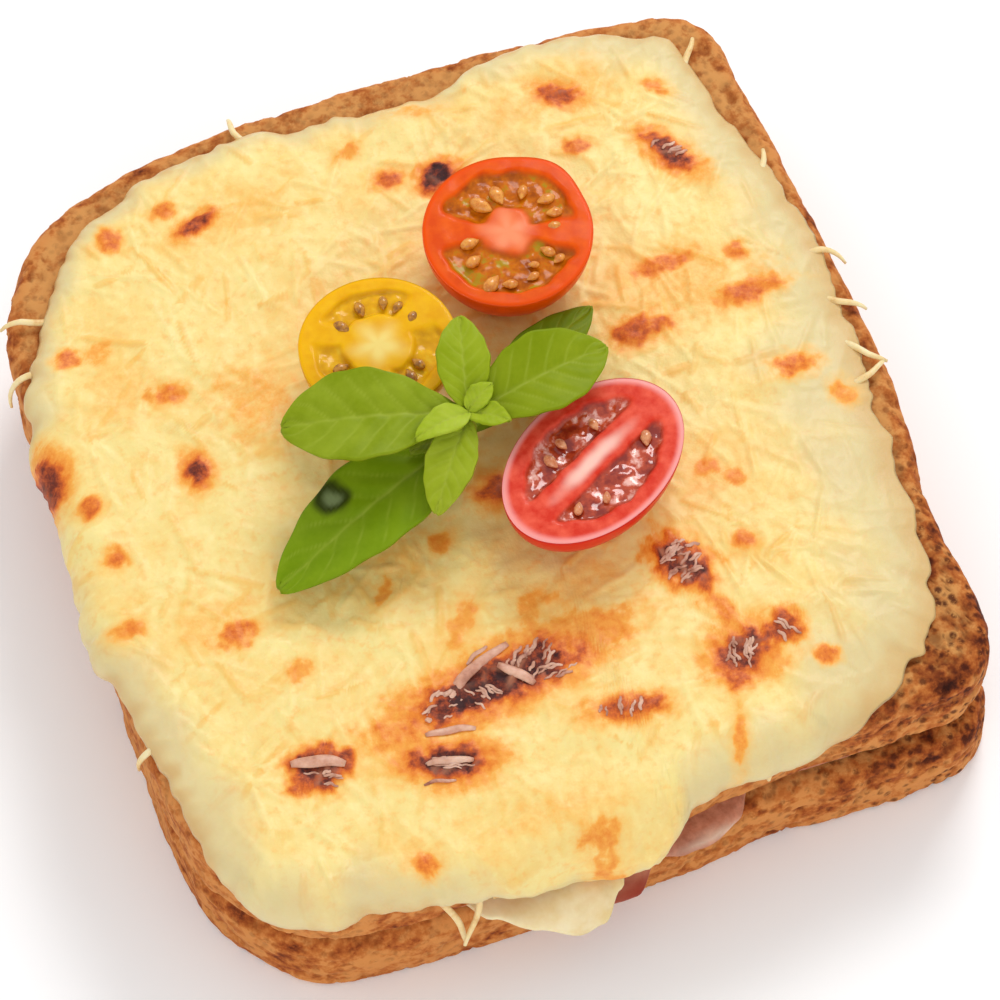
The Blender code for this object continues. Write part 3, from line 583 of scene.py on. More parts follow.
# Browned spots: x, y, half length, half width in mm, turn in degrees, strength, width of the halo in mm
BROWNED = [
    (9.1, 43.3, 2.8, 2.0, 20, 1.0, 2.0), (-11.5, -40.0, 12.0, 3.3, 8, 0.94, 4.5),
    (-22.3, -49.7, 4.6, 2.4, -20, 0.92, 3.5), (-39.8, -44.4, 4.0, 3.4, 0, 0.84, 2.2),
    (19.7, -31.0, 5.0, 3.2, -65, 0.84, 2.4), (22.6, -47.4, 3.8, 3.0, 0, 0.78, 4.5),
    (29.3, -46.0, 2.8, 2.4, 0, 0.66, 2.0), (4.0, -50.4, 4.6, 1.7, -12, 0.6, 2.2),
    (-60.6, 13.8, 2.0, 3.4, 0, 0.76, 2.5), (-40.8, 7.1, 1.6, 2.4, 0, 0.8, 2.0),
    (-56.8, 6.7, 1.6, 1.8, 0, 0.45, 1.5), (43.3, 35.4, 4.2, 1.8, -60, 0.82, 2.4),
    (31.6, 51.2, 3.0, 1.6, -30, 0.62, 2.4), (30.4, 41.3, 2.2, 1.3, 0, 0.42, 1.5),
    (2.0, 45.3, 1.9, 1.4, 0, 0.52, 2.0), (34.9, 17.5, 4.5, 1.5, 0, 0.42, 2.5),
    (28.0, 7.7, 4.6, 2.0, 0, 0.52, 2.5), (45.7, 8.7, 4.4, 1.7, 0, 0.44, 2.0),
    (47.2, -5.5, 3.2, 1.6, 0, 0.44, 1.8), (-27.6, 47.5, 2.6, 1.1, 13, 0.7, 1.8),
    (-31.8, 51.4, 1.6, 1.4, 0, 0.4, 1.5), (-40.8, 49.1, 1.9, 1.8, 0, 0.42, 1.5),
    (-52.3, 31.6, 1.6, 1.4, 0, 0.42, 1.5), (-40.9, 20.9, 2.2, 1.6, 0, 0.4, 2.0),
    (-56.1, -2.8, 1.8, 1.5, 0, 0.4, 1.5), (-43.8, -20.2, 3.0, 2.0, 10, 0.42, 2.0),
    (-57.8, -14.3, 2.4, 1.5, 0, 0.35, 1.5), (-37.2, -29.0, 1.8, 1.6, 0, 0.25, 2.0),
    (-5.9, -65.7, 2.5, 1.5, 0, 0.3, 2.0), (-30.6, -63.2, 1.8, 1.5, 0, 0.4, 2.0),
    (-1.2, -10.5, 2.5, 2.0, 0, 0.62, 3.0), (33.7, -51.8, 1.5, 1.3, 0, 0.4, 1.2),
    (17.4, -59.1, 0.9, 3.6, -20, 0.3, 1.5),
    (-11.6, -15.9, 2.2, 1.4, 30, 0.32, 2.0), (-21.7, -20.9, 2.6, 1.0, 60, 0.3, 2.0),
    (28.5, -17.3, 2.0, 1.5, 0, 0.3, 2.0), (32.0, -20.3, 1.5, 1.5, 0, 0.3, 1.5),
    (29.4, -30.8, 1.4, 1.6, 0, 0.4, 1.6), (21.6, -35.0, 1.4, 1.8, 0, 0.6, 1.6),
    (22.6, -40.4, 1.6, 3.4, 10, 0.34, 2.6), (20.7, -51.4, 1.8, 1.4, 0, 0.55, 2.0),
    (52.6, -11.7, 1.5, 2.0, 0, 0.3, 2.0), (46.1, 15.6, 1.6, 1.5, 0, 0.4, 1.6),
    (45.6, 47.5, 1.8, 1.2, -40, 0.32, 1.5),
    (-2.5, 52.0, 2.0, 1.2, 10, 0.25, 2.0), (-29.0, 15.3, 6.0, 7.0, 0, 0.16, 4.0),
    (-13.0, -29.0, 5.0, 1.6, 50, 0.24, 3.0), (-2.0, -30.0, 3.0, 2.0, 20, 0.22, 3.0),
    (-48.0, 31.0, 3.0, 2.0, 20, 0.2, 3.0), (10.0, 55.5, 4.0, 1.4, -10, 0.2, 3.0),
    (35.5, 52.0, 5.0, 4.0, -30, 0.14, 5.0), (37.0, 12.5, 11.0, 6.5, -10, 0.15, 6.0),
    (2.6, -31.0, 9.0, 4.0, 25, 0.12, 6.0), (-10.5, -62.0, 9.0, 3.0, -5, 0.13, 5.0),
    (-23.0, 47.5, 10.0, 4.0, 15, 0.12, 6.0), (-47.0, 23.0, 6.0, 5.0, 60, 0.12, 6.0),
    (-18.0, -16.5, 6.0, 5.0, 20, 0.13, 6.0), (25.0, 50.5, 6.0, 3.0, 0, 0.13, 5.0),
    (29.0, -19.0, 5.0, 5.0, 0, 0.13, 6.0), (-46.0, -17.0, 7.0, 3.0, 10, 0.13, 6.0),
    (-31.0, -62.0, 4.0, 2.4, 0, 0.13, 5.0),
]


def browning_at(points):
    """How brown each point is, from 0, pale, to 1, burnt, with ragged edges and a soft golden halo."""
    ragged = 0.45 * bumps(points, 2.6 * MM, (3, 1, 0)) + 0.34 * bumps(points, 1.1 * MM, (0, 5, 0))
    brown = np.zeros(len(points))
    for x, y, length, width, turn, strength, halo in BROWNED:
        dx, dy = points[:, 0] / MM - x, points[:, 1] / MM - y
        cosine, sine = math.cos(math.radians(turn)), math.sin(math.radians(turn))
        along, across = (dx * cosine + dy * sine) / length, (dy * cosine - dx * sine) / width
        beyond = np.hypot(along, across) - 1 + ragged * (1.5 - 0.6 * strength)
        core = 1 - smooth_step(-0.5, 0.2, beyond)
        glow = np.clip(1 - np.maximum(beyond, 0) * min(length, width) / (1.25 * halo), 0, 1) ** 1.4
        brown = np.maximum(brown, strength * (0.44 * glow + 0.52 * core))
    return brown


print(len(BROWNED), "browned spots")

# %% Sizes of the gratin and the seats of the tomatoes
GRID_CELLS = 288
# Below 1, this crowds the grid's lines together near the edge, where the melted rim is round
CROWDING = 0.84
GRATIN_THICKNESS = 2.5 * MM
# The air under the gratin, and between it and a tomato
GAP, SEAT_GAP = 0.3 * MM, 0.45 * MM
# The drip at the front: direction and half width in degrees, and how far it bulges
DRIP_DIRECTION, DRIP_HALF_WIDTH, DRIP_BULGE = -91.5, 8, 2.4 * MM
STRANDS_MELTED_IN = 1150
# How wide the thin, pale border is: direction in degrees, millimetres
PALE_BORDER = [
    (-180, 7), (-152, 10), (-130, 12), (-104, 6), (-78, 8), (-55, 22), (-20, 24), (35, 14), (75, 6), (125, 5),
]
FACE_HEIGHT = 41.5 * MM
# Each tomato's middle, length, width and depth in mm, and its turn in degrees
TOMATO_SIZES = {
    "orange": ((13.3, 24.0), 25.0, 26.0, 11.2, -20),
    "yellow": ((-10.9, 12.2), 23.2, 22.4, 10.9, 8),
    "red": ((11.4, -16.6), 31.0, 21.4, 11.0, 29),
}


def melted_strands(spots, seed=20):
    """Soft ridges of half-melted grated cheese over flat spots, and a tone that differs by strand."""
    rng = np.random.default_rng(seed)
    ridge, tone = np.zeros(len(spots)), np.zeros(len(spots))
    for _ in range(STRANDS_MELTED_IN):
        centre = rng.uniform(-72, 72, 2) * MM
        turn, length = rng.uniform(0, math.pi), rng.uniform(5, 13) * MM
        width, height = rng.uniform(0.6, 0.95) * MM, rng.uniform(0.14, 0.34) * MM
        bend, shade = rng.uniform(-12, 12), rng.uniform(-1, 1)
        offset = spots - centre
        near = np.flatnonzero(np.abs(offset).max(axis=1) < length / 2 + width)
        along = offset[near, 0] * math.cos(turn) + offset[near, 1] * math.sin(turn)
        across = offset[near, 1] * math.cos(turn) - offset[near, 0] * math.sin(turn)
        across = np.abs(across - bend * along ** 2)
        ends = 1 - smooth_step(length * 0.3, length * 0.5, abs(along))
        bar = height * ends * (1 - smooth_step(0, width, across))
        taller = bar > ridge[near]
        tone[near[taller]] = shade * np.minimum(1, bar[taller] / (0.1 * MM))
        ridge[near] = np.maximum(ridge[near], bar)
    return ridge, tone


def tomato_underside(points):
    """Lowest point of the tomatoes above each spot, or a height above them all."""
    lowest = np.ones(len(points))
    for (x, y), length, width, depth, turn in TOMATO_SIZES.values():
        dx, dy = points[:, 0] - x * MM, points[:, 1] - y * MM
        cosine, sine = math.cos(math.radians(turn)), math.sin(math.radians(turn))
        along, across = (dx * cosine + dy * sine) / (length / 2), (dy * cosine - dx * sine) / (width / 2)
        away = (along ** 2 + across ** 2) / MM ** 2
        under = FACE_HEIGHT - depth * MM * np.sqrt(np.clip(1 - away, 0, 1))
        lowest = np.where(away < 0.98, np.minimum(lowest, under), lowest)
    return lowest


# %% Lay the grid like a cloth, with its border turned under
# How far each ring lies back from the edge: the top's border first, then the rings of the underside
UNDER_BACK = np.array([0, 0.15, 0.6, 2.0, 8.0, 30.0]) * MM
bpy.ops.object.select_all(action="DESELECT")
bpy.ops.mesh.primitive_grid_add(x_subdivisions=GRID_CELLS, y_subdivisions=GRID_CELLS, size=2)
gratin = bpy.context.object
gratin.name = gratin.data.name = "browned_gratin"
bpy.ops.object.mode_set(mode="EDIT")
bpy.ops.mesh.select_all(action="SELECT")
bpy.ops.mesh.region_to_loop()
for _ in UNDER_BACK[1:]:
    bpy.ops.mesh.extrude_region_move(TRANSFORM_OT_translate={"value": (0, 0, -1)})
bpy.ops.mesh.edge_face_add()
bpy.ops.mesh.select_all(action="SELECT")
bpy.ops.mesh.normals_make_consistent(inside=False)
bpy.ops.object.mode_set(mode="OBJECT")

# %% Where each vertex lies, seen from above
grid = read_points(gratin)
under_ring = np.rint(-grid[:, 2]).astype(int)
direction = np.arctan2(grid[:, 1] * HALF_DEPTH, grid[:, 0] * HALF_WIDTH)
share = np.maximum(abs(grid[:, 0]), abs(grid[:, 1])) ** CROWDING
inner_rim = rim_points(direction) - rim_normals(direction) * SHOULDER
edge_run = np.linalg.norm(inner_rim, axis=1) + SHOULDER + reach_at(TOPPING_REACH, direction)
edge_at = np.column_stack([np.cos(direction), np.sin(direction), np.zeros(len(direction))]) * 60 * MM
edge_run += 0.7 * MM * bumps(edge_at, 6 * MM, (0, 0, 2)) + 0.6 * MM * bumps(edge_at, 2.2 * MM)
run = edge_run * share - UNDER_BACK[under_ring]
flat_spot = np.column_stack([np.cos(direction), np.sin(direction), np.zeros(len(run))]) * run[:, None]

# %% Push the skin up by lumps, strands, blisters and the drip, and down under the tomatoes
lump = 0.75 * MM * bumps(flat_spot, 11 * MM) + 0.4 * MM * bumps(flat_spot, 4.5 * MM, (7, 3, 0))
grain = 0.14 * MM * bumps(flat_spot, 1.4 * MM, (1, 1, 1))
ridge, tone = melted_strands(flat_spot[:, :2])
level_at = over_slice(direction, run, np.full(len(run), GRATIN_THICKNESS), UPPER_TOP, SHOULDER)
brown = browning_at(level_at)
blister = 0.3 * MM * smooth_step(0.3, 0.6, brown) - 0.25 * MM * smooth_step(0.7, 0.95, brown)
char = 0.35 * MM * smooth_step(0.55, 0.8, brown) * bumps(flat_spot, 1.1 * MM, (9, 0, 0))
border = reach_at(PALE_BORDER, direction)
near_edge = np.clip((edge_run - run) / np.maximum(4.5 * MM, 0.7 * border), 0, 1)
thinning = smooth_step(9 * MM, 20 * MM, border)
rounding = (1 - thinning) * np.sqrt(1 - (1 - near_edge) ** 2) + thinning * np.sin(near_edge * math.pi / 2)
rounding = 0.12 + 0.88 * rounding
over_side = smooth_step(-2 * MM, 6 * MM, run - np.linalg.norm(rim_points(direction), axis=1))
off_drip = abs(np.degrees(direction) - DRIP_DIRECTION) / DRIP_HALF_WIDTH
drip = DRIP_BULGE * (1 - smooth_step(0.2, 1, off_drip)) * smooth_step(0, 5 * MM, run - edge_run + 11 * MM)
body = GRATIN_THICKNESS * (1 + 0.25 * over_side) + lump + grain + ridge + blister + char + drip
lift = np.where(under_ring == 0, GAP + body * rounding, GAP)
lift = np.where(under_ring == 1, GAP + 0.25 * MM, lift)
points = over_slice(direction, run, lift, UPPER_TOP, SHOULDER)
points[:, 2] = np.minimum(points[:, 2], tomato_underside(points) - SEAT_GAP)
place_points(gratin, points)

# %% Store what the finish reads
paint(gratin, "brown", brown)
paint(gratin, "strand_tone", tone)
paint(gratin, "strand_ridge", np.clip(ridge / (0.3 * MM), 0, 1) * smooth_step(-0.2, 0.4, tone))
inside_edge = edge_run - run + 0.3 * border * bumps(flat_spot, 7 * MM)
paint(gratin, "thin_edge", 1 - smooth_step(0.15 * border, border, inside_edge))
into_edge = edge_run - run + 1.2 * MM * bumps(flat_spot, 2.5 * MM)
paint(gratin, "soaked", 1 - smooth_step(0, np.maximum(2 * MM, 0.26 * border), into_edge))
print("gratin from", np.round(points.min(axis=0) / MM, 1), "to", np.round(points.max(axis=0) / MM, 1), "mm")

# %% [markdown]
# Melted cheese is fat and milk protein: light goes in a little way and comes out warm, and the skin has a
# soft shine. Its colour is one long ramp, from cream over gold and orange to the near black of the burnt
# spots. The stored browning moves along that ramp, and small noise keeps any two spots from being the same.


# %% Finish: browned cheese
def cheese_skin(name):
    finish, tree, shader, place = new_finish(
        name, Specular_IOR_Level=0.3, Subsurface_Weight=0.2, Subsurface_Scale=0.8 * MM,
        Subsurface_Radius=(1.8, 1.1, 0.5))
    patches = speckle(tree, place, 7.0, 4.0)
    freckles = speckle(tree, place, 1.8, 4.0, 0.6)
    tone = stored(tree, "strand_tone")
    base = blend(tree, adjust(tree, patches, 0.38, 0.62), "#EFD888", "#F1CC74")
    base = blend(tree, adjust(tree, freckles, 0.52, 0.7, 0, 0.75), base, "#F2B552")
    base = blend(tree, adjust(tree, freckles, 0.46, 0.3, 0, 0.6), base, "#F6E294")
    base = blend(tree, adjust(tree, tone, -1, 1, 0, 0.4), base, "#F9E6A4")
    base = blend(tree, adjust(tree, tone, -0.1, -1, 0, 0.5), base, "#EFB350")
    base = blend(tree, combine(tree, "MULTIPLY", stored(tree, "thin_edge"), 0.85), base, "#D8C694")
    base = blend(tree, combine(tree, "MULTIPLY", stored(tree, "soaked"), 0.6), base, "#CE9C58")
    scatter = adjust(tree, speckle(tree, place, 1.2, 4.0, 0.7), 0.3, 0.7, 0.7, 1.3)
    brown = combine(tree, "MULTIPLY", stored(tree, "brown"), scatter)
    toasted = add_node(tree, "ShaderNodeValToRGB", {"Fac": brown}, stops=[
        (0.0, "#F5C868"), (1.0, "#361010"), (0.18, "#F3AC48"), (0.34, "#E88628"), (0.48, "#D2641C"),
        (0.62, "#AE4A1A"), (0.76, "#7C2E14"), (0.88, "#561C10")]).outputs["Color"]
    colour = blend(tree, adjust(tree, brown, 0.02, 0.2), base, toasted)
    dry = combine(tree, "MULTIPLY", stored(tree, "strand_ridge"), adjust(tree, brown, 0.5, 0.8))
    colour = blend(tree, combine(tree, "MULTIPLY", dry, 0.75), colour, "#C47C5A")
    tree.links.new(colour, shader.inputs["Base Color"])
    tree.links.new(adjust(tree, brown, 0.3, 0.9, 0.40, 0.62), shader.inputs["Roughness"])
    skin = speckle(tree, place, 0.9, 4.0, 0.6)
    bump = add_node(tree, "ShaderNodeBump", {"Height": skin, "Strength": 0.35, "Distance": 0.25 * MM})
    tree.links.new(bump.outputs["Normal"], shader.inputs["Normal"])
    return finish


cheese = cheese_skin("browned_cheese_skin")
serve(gratin, "gratin_topping", cheese)

# %% [markdown]
# ## Grated strands
# A few strands of grated cheese kept their shape: pale ones hang over the edge, and dry pinkish ones
# lie across the burnt spots. Each one is a drum like the others, drawn out along a route with a flat
# section that gets thinner to its ends, and the drums are joined into one piece.

# %% Where the strands lie
# Strands over the edge: direction, length past the edge in mm, slant in degrees, how far the end stands off
EDGE_STRANDS = [
    (142, 5.5, 3, 0), (150, 4, 3, 0), (104, 4, 1, 0), (-153, 4, 2, 0), (-116, 9, 3.4, 2.2),
    (-109.4, 8.6, -3.6, 3.4), (-104, 0.4, -5, 0), (-71, 2.5, 0.5, 0), (42, 5, 3, 0),
    (24, 2.4, 5, 0), (15, 2, -5, 0), (7, 2.4, -6, 0), (-1, 3, -7, 0), (-13, 3, 5, 0),
]
# Strands that kept their width: start x, start y, end x, end y, half width, all in mm
BURN_STRANDS = [
    (-23.0, -42.8, -8.3, -34.8, 0.85), (-10.8, -37.8, -6.8, -42.2, 0.8), (-20.6, -40.4, -18.0, -39.0, 0.4),
    (-14.7, -35.8, -11.1, -34.4, 0.35), (-43.2, -42.8, -36.0, -45.2, 0.95), (-25.4, -49.2, -19.0, -50.8, 0.6),
    (-26.8, -52.0, -22.3, -52.8, 0.3), (-24.0, -44.8, -17.0, -46.0, 0.6),
]
# Fine fibres on the burns: x, y, half length and half width of the patch in mm, its turn in degrees,
# the fibres' direction, how far they fan out, and how many there are
FIBRES = [
    (-5.9, -38.8, 4.6, 2.6, 0, 55, 35, 20), (-2.4, -40.6, 3.0, 1.6, 10, 10, 15, 7),
    (-14.6, -41.6, 3.4, 1.8, 30, -65, 20, 9), (-19.6, -41.0, 2.6, 2.2, 0, 20, 30, 6),
    (-21.6, -50.0, 3.6, 1.2, -20, -20, 8, 9), (-39.6, -46.2, 2.6, 1.4, -20, -20, 25, 6),
    (20.0, -31.0, 2.6, 3.4, -20, 20, 40, 26), (22.4, -47.6, 2.2, 2.4, 0, 72, 35, 15),
    (29.3, -46.1, 1.8, 1.4, 0, -68, 20, 4), (4.0, -50.4, 4.2, 1.1, -12, 72, 20, 7),
    (43.3, 35.4, 3.4, 1.2, -60, 15, 25, 6),
]

# %% Shape the strands
STRAND_COLUMNS = 12
# How much of a strand over the edge lies on the gratin, in mm, and its half width and half height
EDGE_HOLD, EDGE_HALF_WIDTH, EDGE_HALF_HEIGHT = 5, 0.52 * MM, 0.4 * MM


def flat_strand(route, above, half_width, half_height):
    """A flattened strand along a route of points: the points above it say which way its flat side looks."""
    piece, ring, angle = extruded_drum("strand", STRAND_COLUMNS, len(route))
    along = np.gradient(route, axis=0)
    sideways = np.cross(above - route, along)
    sideways /= np.linalg.norm(sideways, axis=1, keepdims=True)
    up = np.cross(along, sideways)
    up /= np.linalg.norm(up, axis=1, keepdims=True)
    steps = np.linspace(0.04, 0.96, len(route))
    taper = (0.25 + 0.75 * np.sin(math.pi * steps) ** 0.5)[ring]
    place_points(piece, route[ring] + sideways[ring] * (half_width * taper * np.cos(angle))[:, None]
                 + up[ring] * (half_height * taper * np.sin(angle))[:, None])
    return piece


def joined(pieces, name):
    """Join pieces into one."""
    bpy.ops.object.select_all(action="DESELECT")
    for piece in pieces:
        piece.select_set(True)
    bpy.context.view_layer.objects.active = pieces[0]
    bpy.ops.object.join()
    whole = bpy.context.object
    whole.name = whole.data.name = name
    return whole


def edge_strand(degrees, length, slant, stand_off):
    """A strand that leaves the gratin near its edge and hangs past it."""
    steps = np.linspace(0, 1, 17)
    start = np.array([math.radians(degrees)])
    angle = start + math.radians(slant) * steps + 0.006 * np.sin(steps * 7 + degrees)
    rim_run = np.linalg.norm(rim_points(start) - rim_normals(start) * SHOULDER) + SHOULDER
    run = rim_run + reach_at(TOPPING_REACH, start)[0] - EDGE_HOLD * MM + (EDGE_HOLD + length) * MM * steps
    lift = (0.3 + 0.8 * smooth_step(0.1, 0.7, steps) + stand_off * steps ** 2) * MM
    route = over_slice(angle, run, lift, UPPER_TOP, SHOULDER)
    above = over_slice(angle, run, lift + MM, UPPER_TOP, SHOULDER)
    return flat_strand(route, above, EDGE_HALF_WIDTH, EDGE_HALF_HEIGHT)


# The gratin's vertices by x and y, to look up its height under a strand
surface = kdtree.KDTree(len(points))
for index, spot in enumerate(points.tolist()):
    surface.insert((spot[0], spot[1], 0), index)
surface.balance()


def lying_strand(x0, y0, x1, y1, half_width):
    """A strand half sunk in the gratin, on a slightly bent line."""
    steps = np.linspace(0, 1, 13)
    bend = 0.06 * math.hypot(x1 - x0, y1 - y0) * np.sin(math.pi * steps) + 0.1 * np.sin(9 * steps + x0)
    turn = math.atan2(y1 - y0, x1 - x0)
    x = (x0 + (x1 - x0) * steps - bend * math.sin(turn)) * MM
    y = (y0 + (y1 - y0) * steps + bend * math.cos(turn)) * MM
    z = [points[surface.find((px, py, 0))[1], 2] for px, py in zip(x, y)]
    z = np.convolve(np.pad(z, 2, mode="edge"), np.ones(5) / 5, mode="valid") + 0.22 * half_width * MM
    route = np.column_stack([x, y, z])
    return flat_strand(route, route + (0, 0, MM), half_width * MM, 0.4 * half_width * MM)


edge_strands = joined([edge_strand(*row) for row in EDGE_STRANDS], "edge_strands")
fibre_random = np.random.default_rng(8)
burn_pieces = [lying_strand(*row) for row in BURN_STRANDS]
for x, y, length, width, turn, fibre_turn, fan, count in FIBRES:
    for _ in range(count):
        away, side = fibre_random.uniform(0, 1) ** 0.5, fibre_random.uniform(0, 2 * math.pi)
        along, across = away * length * math.cos(side), away * width * math.sin(side)
        cosine, sine = math.cos(math.radians(turn)), math.sin(math.radians(turn))
        mid_x, mid_y = x + along * cosine - across * sine, y + along * sine + across * cosine
        slant = math.radians(fibre_turn + fibre_random.uniform(-fan, fan))
        reach = fibre_random.uniform(0.6, 1.4)
        dx, dy = reach * math.cos(slant), reach * math.sin(slant)
        half_width = fibre_random.uniform(0.16, 0.3)
        burn_pieces.append(lying_strand(mid_x - dx, mid_y - dy, mid_x + dx, mid_y + dy, half_width))
burn_strands = joined(burn_pieces, "burn_strands")


# %% Finish: dried grated cheese
def strand_finish(name, pale, tan, brown):
    # Dried grated cheese: waxy, a little see-through, darker where the heat caught it
    finish, tree, shader, place = new_finish(
        name, Roughness=0.45, Subsurface_Weight=0.2, Subsurface_Scale=0.8 * MM,
        Subsurface_Radius=(1.6, 1.0, 0.5))
    patch = speckle(tree, place, 3.0, 4.0, 0.6)
    colour = add_node(tree, "ShaderNodeValToRGB", {"Fac": patch}, stops=[
        (0.35, pale), (0.72, brown), (0.55, tan)]).outputs["Color"]
    tree.links.new(colour, shader.inputs["Base Color"])
    bump = add_node(tree, "ShaderNodeBump", {"Height": patch, "Strength": 0.4, "Distance": 0.2 * MM})
    tree.links.new(bump.outputs["Normal"], shader.inputs["Normal"])
    return finish


serve(edge_strands, "gratin_topping",
      strand_finish("grated_cheese_pale", "#F0DEAC", "#EACA8C", "#CC924A"))
serve(burn_strands, "gratin_topping",
      strand_finish("grated_cheese_scorched", "#E2B298", "#C68C72", "#8C4C34"))

# %% [markdown]
# ## Halved cherry tomatoes
# A halved tomato has a thin shiny skin, firm flesh, a paler core, and chambers full of jelly and seeds. One
# drum makes it: the rings go down the skin, over the sharp rim and in across the cut face. The chambers
# sink a little and their jelly bulges, and the stored shares of jelly, core and skin drive the colours.

# %% Shape the tomatoes
TOMATO_COLUMNS = 200
# The skin's rings by their angle below the cut, and the face's rings by their share of the radius
SKIN_TURNS = np.linspace(-88, 0, 30)
FACE_SHARES = np.concatenate([[0.995, 0.985, 0.97], np.linspace(0.95, 0.02, 50)])


def chamber_share(kind, along, across, wobble):
    """1 in the middle of a seed chamber, 0 on the flesh round it."""
    reach = np.hypot(along, across) + wobble
    degrees = np.degrees(np.arctan2(across, along))
    if kind == "red":
        lengthwise = 1 - smooth_step(0.74, 0.86, np.hypot(along, across * 0.6) + wobble)
        off_wall = smooth_step(0.17, 0.26, abs(across) + wobble * 0.5)
        return lengthwise * off_wall * (1 - smooth_step(0.68, 0.78, reach))
    # The chambers' middles and half span in degrees, and where the core ends
    middles = (90, -90) if kind == "orange" else (80, -50, 200)
    half_span = 74 if kind == "orange" else 46
    inner = 0.26 if kind == "orange" else 0.4
    ring = smooth_step(inner, inner + 0.1, reach) * (1 - smooth_step(0.76, 0.84, reach))
    nearest = np.min([abs((degrees - middle + 180) % 360 - 180) for middle in middles], axis=0)
    return ring * (1 - smooth_step(half_span - 10, half_span + 4, nearest + wobble * 60))


def halved_tomato(kind, corner):
    """Half a tomato, cut face up. Its corner is a direction in degrees and how far it is drawn out there."""
    (x, y), length, width, depth, turn = TOMATO_SIZES[kind]
    piece, ring, angle = extruded_drum(kind + "_tomato", TOMATO_COLUMNS, len(SKIN_TURNS) + len(FACE_SHARES))
    skin = np.radians(SKIN_TURNS)
    out = np.concatenate([np.cos(skin), FACE_SHARES])[ring]
    rim_drop = [-0.12, -0.03, 0]
    level_face = np.zeros(len(FACE_SHARES) - len(rim_drop))
    drop = np.concatenate([np.sin(skin) * depth, rim_drop, level_face])[ring] * MM
    on_face = ring >= len(SKIN_TURNS)
    off_corner = abs((np.degrees(angle) - corner[0] + 180) % 360 - 180)
    stretch = 1 + corner[1] * (1 - smooth_step(0, 32, off_corner))
    along, across = out * np.cos(angle), out * np.sin(angle)
    flat = np.column_stack([along * length / 2, across * width / 2, np.zeros(len(ring))]) * MM
    wobble = 0.06 * bumps(flat, 2.6 * MM, (len(kind), 0, 0))
    chamber = chamber_share(kind, along, across, wobble) * on_face
    jelly = 0.4 * MM * bumps(flat, 2.4 * MM, (0, len(kind), 0)) + 0.08 * MM * bumps(flat, 0.9 * MM)
    drop = drop + on_face * (-0.75 * MM * chamber + np.clip(jelly, -0.2 * MM, 0.5 * MM) * chamber)
    drop += on_face * 0.04 * MM * bumps(flat, 3 * MM) * smooth_step(1.0, 0.95, out)
    flat[:, :2] *= stretch[:, None]
    spin = np.array(Matrix.Rotation(math.radians(turn), 3, "Z"))
    place_points(piece, flat @ spin.T + np.column_stack([
        np.full(len(ring), x * MM), np.full(len(ring), y * MM), FACE_HEIGHT + drop]))
    paint(piece, "jelly", smooth_step(0.15, 0.85, chamber))
    paint(piece, "jelly_edge", smooth_step(0.05, 0.4, chamber) * (1 - smooth_step(0.5, 0.95, chamber)))
    spokes = 0.05 * np.cos(np.radians(5 * np.degrees(angle) + 40)) if kind != "red" else 0
    centre = np.hypot(along * (0.6 if kind == "red" else 1), across * (2.6 if kind == "red" else 1))
    centre = 1 - smooth_step(0.06, 0.42, centre + wobble + spokes)
    paint(piece, "core", centre * on_face * (1 - chamber))
    paint(piece, "skin_line", on_face * smooth_step(0.9, 0.985, out))
    paint(piece, "face", on_face * 1.0)
    return piece


tomatoes = {
    "orange": halved_tomato("orange", (58, 0.07)),
    "yellow": halved_tomato("yellow", (200, 0.03)),
    "red": halved_tomato("red", (0, 0.0)),
}
print("tomatoes:", sorted(tomatoes))

# %% [markdown]
# Tomato flesh is nine tenths water, so it glows a little and its wet cut face mirrors the lamp. The jelly is
# clearer and darker, with an olive or brown cast, and shines most. The skin is smooth wax over strong
# colour. One recipe serves all three tomatoes, with its own palette for each.

# %% Finish: tomato flesh, jelly and skin
PALETTES = {
    "orange": dict(flesh="#E85C04", deep="#DA4800", core="#F49064", jelly="#CC6C08", dark="#A04C08",
                   clear="#AE8A18", skin="#F25400", line="#E84E00"),
    "yellow": dict(flesh="#EEB40C", deep="#E6A404", core="#F4D87C", jelly="#EAB014", dark="#DA9E14",
                   clear="#ECBE2C", skin="#E69C00", line="#EEB004"),
    # The red tomato's line colour is a painted reflection: a pale rim over its pink flesh
    "red": dict(flesh="#E85A42", deep="#D43420", core="#F8C4B4", jelly="#C04A28", dark="#8A2414",
                # The red tomato's pale clear colour is partly pale jelly and partly painted glints
                clear="#F0B8AA", skin="#D82C20", line="#F4A09A"),
}


